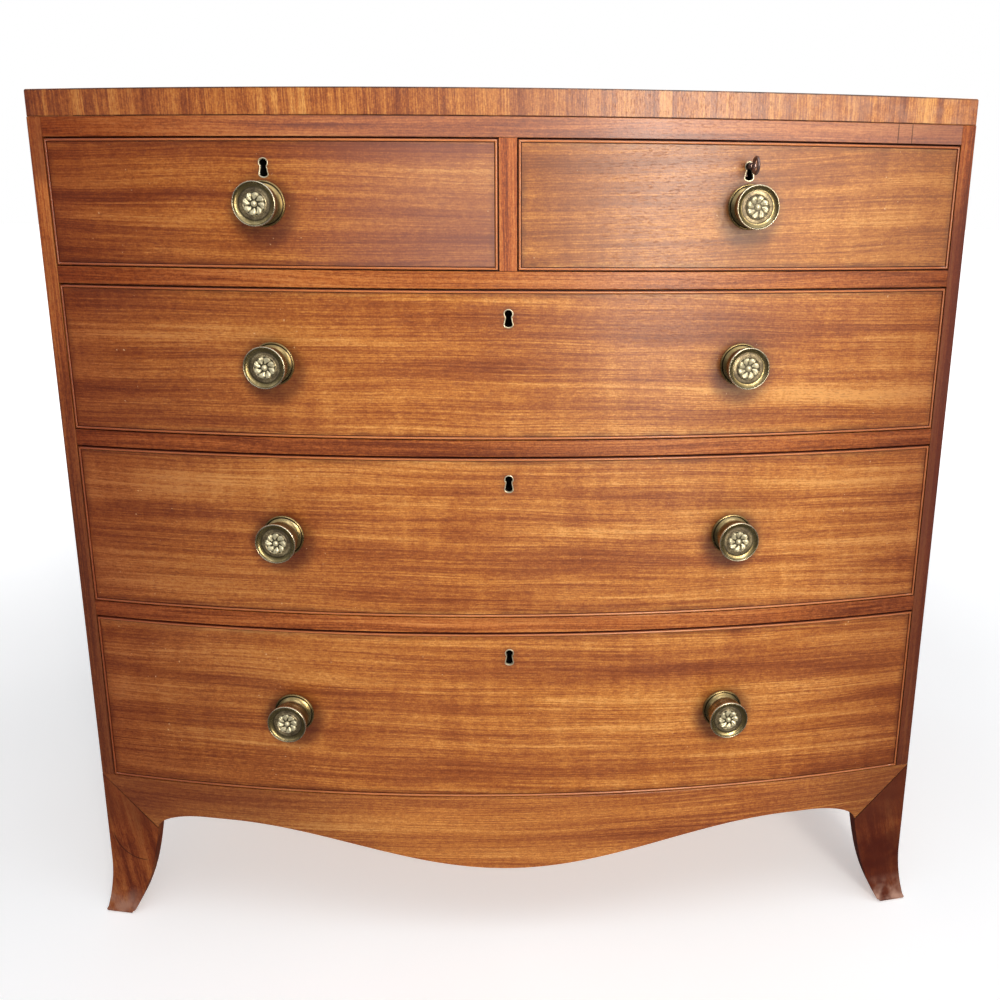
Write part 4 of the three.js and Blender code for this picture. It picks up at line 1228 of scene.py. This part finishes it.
def add_knobs():
    """Copies of one knob and one nut. Each stands square to the bow and is turned a little differently."""
    knob = new_object("knob_pattern", knob_mesh(), (KNOB_BRASS,), body=None, sharp=45)
    nut = new_object("nut_pattern", nut_mesh(), (BOLT_STEEL,), body=None, sharp=30)
    for i, node in enumerate(sorted(n for n in frame["nodes"] if n.endswith("_knob"))):
        x, z = knob_axis(node)
        drawer = next(name for name in DRAWERS if node.startswith(name))
        outward = Matrix.Rotation(bow_turn(x), 4, "Z") @ Matrix.Rotation(math.pi / 2, 4, "X")
        spin = Matrix.Rotation(0.7 * i, 4, "Z")
        for pattern, word, slot in ((knob, "turned", "brass"), (nut, "nut", "steel")):
            piece = linked(f"{node}_{word}", pattern.data)
            piece.matrix_world = Matrix.Translation((x, bow(x), z)) @ outward @ spin
            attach(piece, f"{drawer}_drawer")
            if word == "turned":
                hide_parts(node)
    bpy.data.objects.remove(knob)
    bpy.data.objects.remove(nut)


# The solids that are kept as they are: dustboards, bottom, drawer boxes and the top right lock's bolt
def dress_node(name, material, bevel=0.0):
    node = frame["nodes"][name]
    node.data.materials.clear()
    node.data.materials.append(material)
    if bevel:
        modifier = node.modifiers.new("eased edges", "BEVEL")
        modifier.width = bevel
        modifier.segments = 2
        modifier.limit_method = "ANGLE"
        modifier.angle_limit = math.radians(50)


def dress_nodes():
    for name in ("dustboard_1", "dustboard_2", "dustboard_3", "bottom_board"):
        dress_node(name, PINE_ALONG_X)
    for name in DRAWERS:
        dress_node(f"{name}_drawer_side_left", OAK_ALONG_Y, MM)
        dress_node(f"{name}_drawer_side_right", OAK_ALONG_Y, MM)
        dress_node(f"{name}_drawer_back", OAK_ALONG_X, MM)
        dress_node(f"{name}_drawer_bottom", OAK_ALONG_X)
    dress_node("top_right_lock_bolt", BOLT_STEEL)


# Studio
CAMERA_PLACE = (14.2 * MM, -1255.5 * MM, 936.7 * MM)
CAMERA_YAW, CAMERA_PITCH, CAMERA_ROLL = (math.radians(a) for a in (1.723, -12.886, 0.405))
CAMERA_SENSOR = 36
CAMERA_LENS = 32.48
CAMERA_SHIFT = (-0.0476, -0.090)
WHITE = "#ffffff"
FLOOR_RADIUS = 40.0
FLOOR_TONES = ((0.3, "#ececeb"), (0.7, "#f0f0ef"))
FLOOR_FADE = (0.7, 3.2)
FLOOR_GLOW = (0.38, 1.0)
WORLD_HEIGHTS = (-0.25, 0.6)
WORLD_STRENGTHS = (0.04, 0.34)
WORLD_TINT = "#f4f8ff"
GLOSS_HEIGHTS = (0.08, 0.5)
GLOSS_GAIN = 2.6

# Name, place, target, size, power and tint, and whether only reflections show the light
LIGHTS = (
    ("key", (1.3, -3.9, 1.75), (0.1, 0, 0.95), (0.75, 1.5), 62, "#fffaf2", False),
    ("sky", (0.8, -4.4, 2.7), (0, 0, 0.9), (3.6, 1.1), 38, "#f8faff", False),
    ("window", (1.25, -3.9, 0.98), (0.15, 0, 0.9), (0.6, 1.9), 84, "#fff6e4", True),
    ("far_window", (2.5, -3.4, 1.25), (0.3, 0, 0.95), (1.6, 1.0), 34, "#fff6e4", True),
    ("overhead", (0.5, -1.0, 3.4), (0, 0, 0.6), (2.6, 2.0), 36, "#f6f9ff", False),
)


def add_camera():
    data = bpy.data.cameras.new("camera")
    data.sensor_width = CAMERA_SENSOR
    data.lens = CAMERA_LENS
    data.shift_x, data.shift_y = CAMERA_SHIFT
    camera = linked("camera", data)
    aim = Matrix.Rotation(-CAMERA_YAW, 4, "Z") @ Matrix.Rotation(math.pi / 2 + CAMERA_PITCH, 4, "X")
    camera.matrix_world = Matrix.Translation(CAMERA_PLACE) @ aim @ Matrix.Rotation(CAMERA_ROLL, 4, "Z")
    bpy.context.scene.camera = camera


def add_light(name, place, target, size, power, tint, only_reflected):
    data = bpy.data.lights.new(name, "AREA")
    data.shape = "RECTANGLE"
    data.size, data.size_y = size
    data.energy = power
    data.color = colour(tint)[:3]
    light = linked(name, data)
    light.visible_diffuse = not only_reflected
    light.location = place
    light.rotation_euler = (Vector(target) - Vector(place)).to_track_quat("-Z", "Y").to_euler()


def add_floor():
    """A pale floor that turns into the white of the world far away, so that no horizon shows."""
    made = bmesh.new()
    bmesh.ops.create_circle(made, cap_ends=True, segments=64, radius=FLOOR_RADIUS)
    look = Look("studio_floor", roughness=0.9, specular=0.1)
    look.tones(look.place.noise(3.0), FLOOR_TONES)
    look.put("Emission Color", colour(WHITE))
    look.put("Emission Strength", look.x.reach(look.y).fade(*FLOOR_FADE, *FLOOR_GLOW))
    floor = new_object("floor", made, (look.finish(),), body=None)
    floor.visible_glossy = False


def add_world():
    """White to the eye. As light it is dim and brighter above than below, more so in reflections."""
    world = bpy.data.worlds.new("studio")
    bpy.context.scene.world = world
    world.use_nodes = True
    tree = world.node_tree
    seen = tree.nodes["Background"]
    seen.inputs["Color"].default_value = colour(WHITE)
    height = Field(tree, add_node(tree, "TexCoord").outputs["Generated"]).split()[2]
    rays = add_node(tree, "LightPath").outputs
    raised = height.fade(*GLOSS_HEIGHTS, 0.0, GLOSS_GAIN, smooth=False) * Field(tree, rays["Is Glossy Ray"])
    strength = height.fade(*WORLD_HEIGHTS, *WORLD_STRENGTHS) * (raised + 1.0)
    lit = add_node(tree, "Background", colour(WORLD_TINT), strength)
    inputs = (rays["Is Camera Ray"], lit.outputs[0], seen.outputs[0])
    mix = add_node(tree, "MixShader", *(Field(tree, socket) for socket in inputs))
    tree.links.new(mix.outputs[0], tree.nodes["World Output"].inputs["Surface"])


def add_studio():
    bpy.context.scene.view_settings.view_transform = "Standard"
    add_floor()
    add_world()
    for light in LIGHTS:
        add_light(*light)


# Materials of the chest. The pair of numbers places each piece at its own spot in the grain
TOP_FIELD = wood("top_field", MAHOGANY, "X", (3.1, 0.7), bands=0.6, band_size=50 * MM)
TOP_EDGE = wood("top_crossband", CROSSBAND, "Z", (0.4, 0.3), tilt=0.03, depth=0.1, bands=0.9,
                band_size=15 * MM, lines=0.8, specular=0.4, ends=(0.7, 0.0), marks=arris_marks)
TOP_SIDE = wood("top_side_edge", MAHOGANY, "Y", (1.4, 2.3), ends=(0.5, 0.5))
SIDE_WOOD = wood("side_veneer", MAHOGANY, "Z", (0.9, 5.2), bands=0.8, band_size=60 * MM, specular=0.4,
                 ends=(0.55, 0.6), marks=darker_below(0.1, 1.0, 0.55))
STILE_WOOD = wood("stile", RED_MAHOGANY, "Z", (2.2, 1.7), band_size=14 * MM, roughness=0.42, specular=0.3,
                  marks=stile_marks)
RAIL_WOOD = wood("rail", RAIL_TONES, "X", (0.6, 0.2), depth=0.1, band_size=18 * MM, roughness=0.33,
                 specular=0.27, ends=(1.0, 0.9), marks=rail_marks)
DIVIDER_WOOD = wood("divider", RED_MAHOGANY, "Z", (1.3, 0.9), bands=0.7, band_size=12 * MM, specular=0.3)
APRON_WOOD = wood("apron", MAHOGANY, "X", (2.9, 1.1), depth=0.05, bands=0.8, band_size=45 * MM,
                  specular=0.32, ends=(0.8, 0.0), marks=apron_marks)
FOOT_WOOD = wood("foot", RED_MAHOGANY, "Z", (1.9, 0.4), tilt=0.2, band_size=20 * MM, bands=1.2, lines=0.7,
                 specular=0.22, marks=foot_marks)
CORE_WOOD = wood("front_core", PINE, "X", (0.3, 4.1), bands=0.7, roughness=0.7, specular=0.3)
BEAD_WOOD = wood("bead", BEAD_TONES, "X", (7.7, 3.3), bands=0.3, lines=0.4, grit=0.3, roughness=0.32,
                 specular=0.4, pore=0.0, coat=0.2, ends=(1.0, 0.6))
# Painted shade in the bead's quirks
QUIRK_SHADE = wood("quirk", QUIRK_SHADE_TONES, "X", (7.7, 3.3), roughness=0.5, specular=0.2)
PINE_ALONG_X = wood("pine", PINE, "X", (0.0, 1.9), bands=0.6, lines=0.8, roughness=0.75, specular=0.25,
                    light=0.02)
OAK_ALONG_X = wood("oak_across", OAK, "X", (2.4, 0.8), bands=0.7, roughness=0.7, specular=0.25)
OAK_ALONG_Y = wood("oak_along", OAK, "Y", (1.1, 2.6), bands=0.7, roughness=0.7, specular=0.25)
KNOB_BRASS = knob_brass()
# Painted shade inside the keyholes and the locks
HOLE_SHADE = wood("hole", HOLE_SHADE_TONES, "X", (0, 0), roughness=0.9, specular=0.1)
LINER_BRASS = metal("liner_brass", BRIGHT_BRASS, 0.36, 0.5, metallic=0.6)
LOCK_BRASS = metal("lock_brass", BRASS, 0.42, 0.8)
KEY_STEEL = metal("key_steel", BROWN_STEEL, 0.36, 0.7, metallic=0.5)
BOLT_STEEL = metal("bolt_steel", STEEL, 0.42, 0.7)

# Bands in the veneers: from x to x, depth below the drawer's top at each end and half height in millimetres,
# then gain
LONG_FIGURE = (
    (-520, -80, 44, 66, 9, 0.045),
    (-450, -160, 72, 88, 9, -0.10),
    (-500, -200, 165, 178, 14, 0.05),
    (120, 420, 50, 66, 11, -0.08),
    (-10, 190, 104, 84, 12, 0.09),
    (-120, 60, 96, 100, 10, -0.07),
    (240, 520, 116, 128, 14, 0.08),
)
SHORT_LEFT_FIGURE = (
    (-520, -330, 78, 88, 8, 0.12),
    (-520, -380, 96, 118, 12, -0.02),
    (-520, -330, 118, 126, 14, 0.10),
    (-200, -5, 16, 22, 12, -0.06),
    (-300, -60, 38, 52, 9, -0.12),
    (-240, -10, 62, 70, 8, 0.06),
    (-200, -40, 128, 122, 8, -0.08),
)
SHORT_RIGHT_FIGURE = (
    (10, 200, 112, 100, 8, 0.04),
    (10, 260, 112, 120, 16, -0.09),
    (230, 520, 22, 28, 16, 0.10),
    (320, 520, 60, 66, 8, -0.03),
    (300, 500, 92, 84, 7, 0.09),
    (200, 420, 128, 116, 9, -0.08),
    (60, 260, 60, 52, 9, -0.07),
)
LOWER_FIGURE = (*LONG_FIGURE, (-300, 80, 36, 44, 20, -0.11))

# Offset and tilt of the grain, how light the veneer is, and its bands, by drawer
VENEERS = {
    "top_left": ((0.20, 0.35), 0.010, -0.05, SHORT_LEFT_FIGURE),
    "top_right": ((4.10, 1.35), -0.035, -0.005, SHORT_RIGHT_FIGURE),
    "upper": ((1.10, 2.05), 0.012, 0.008, LONG_FIGURE),
    "middle": ((1.25, 2.33), 0.012, 0.02, LONG_FIGURE),
    "lower": ((1.40, 2.61), 0.012, 0.005, LOWER_FIGURE),
}


def drawer_veneer(name):
    offset, tilt, light, bands = VENEERS[name]
    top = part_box(f"{name}_drawer_front")[1].z
    figure = [
        (x_from * MM, x_to * MM, top - z_from * MM, top - z_to * MM, half * MM, gain)
        for x_from, x_to, z_from, z_to, half, gain in bands
    ]
    return wood(f"{name}_veneer", MAHOGANY, "X", offset, tilt=tilt, depth=0.04, curl=0.20, roughness=0.33,
                specular=0.32, figure=figure, light=light, ends=(1.0, 0.75), marks=drawer_marks(name))


add_camera()
add_studio()
add_top()
add_sides()
add_rails()
add_apron()
add_feet()
add_back()
add_glue_blocks()
dress_nodes()
for drawer_name in DRAWERS:
    add_drawer_front(drawer_name, drawer_veneer(drawer_name))
    add_liner(drawer_name)
    add_lock(drawer_name)
add_knobs()
add_key()
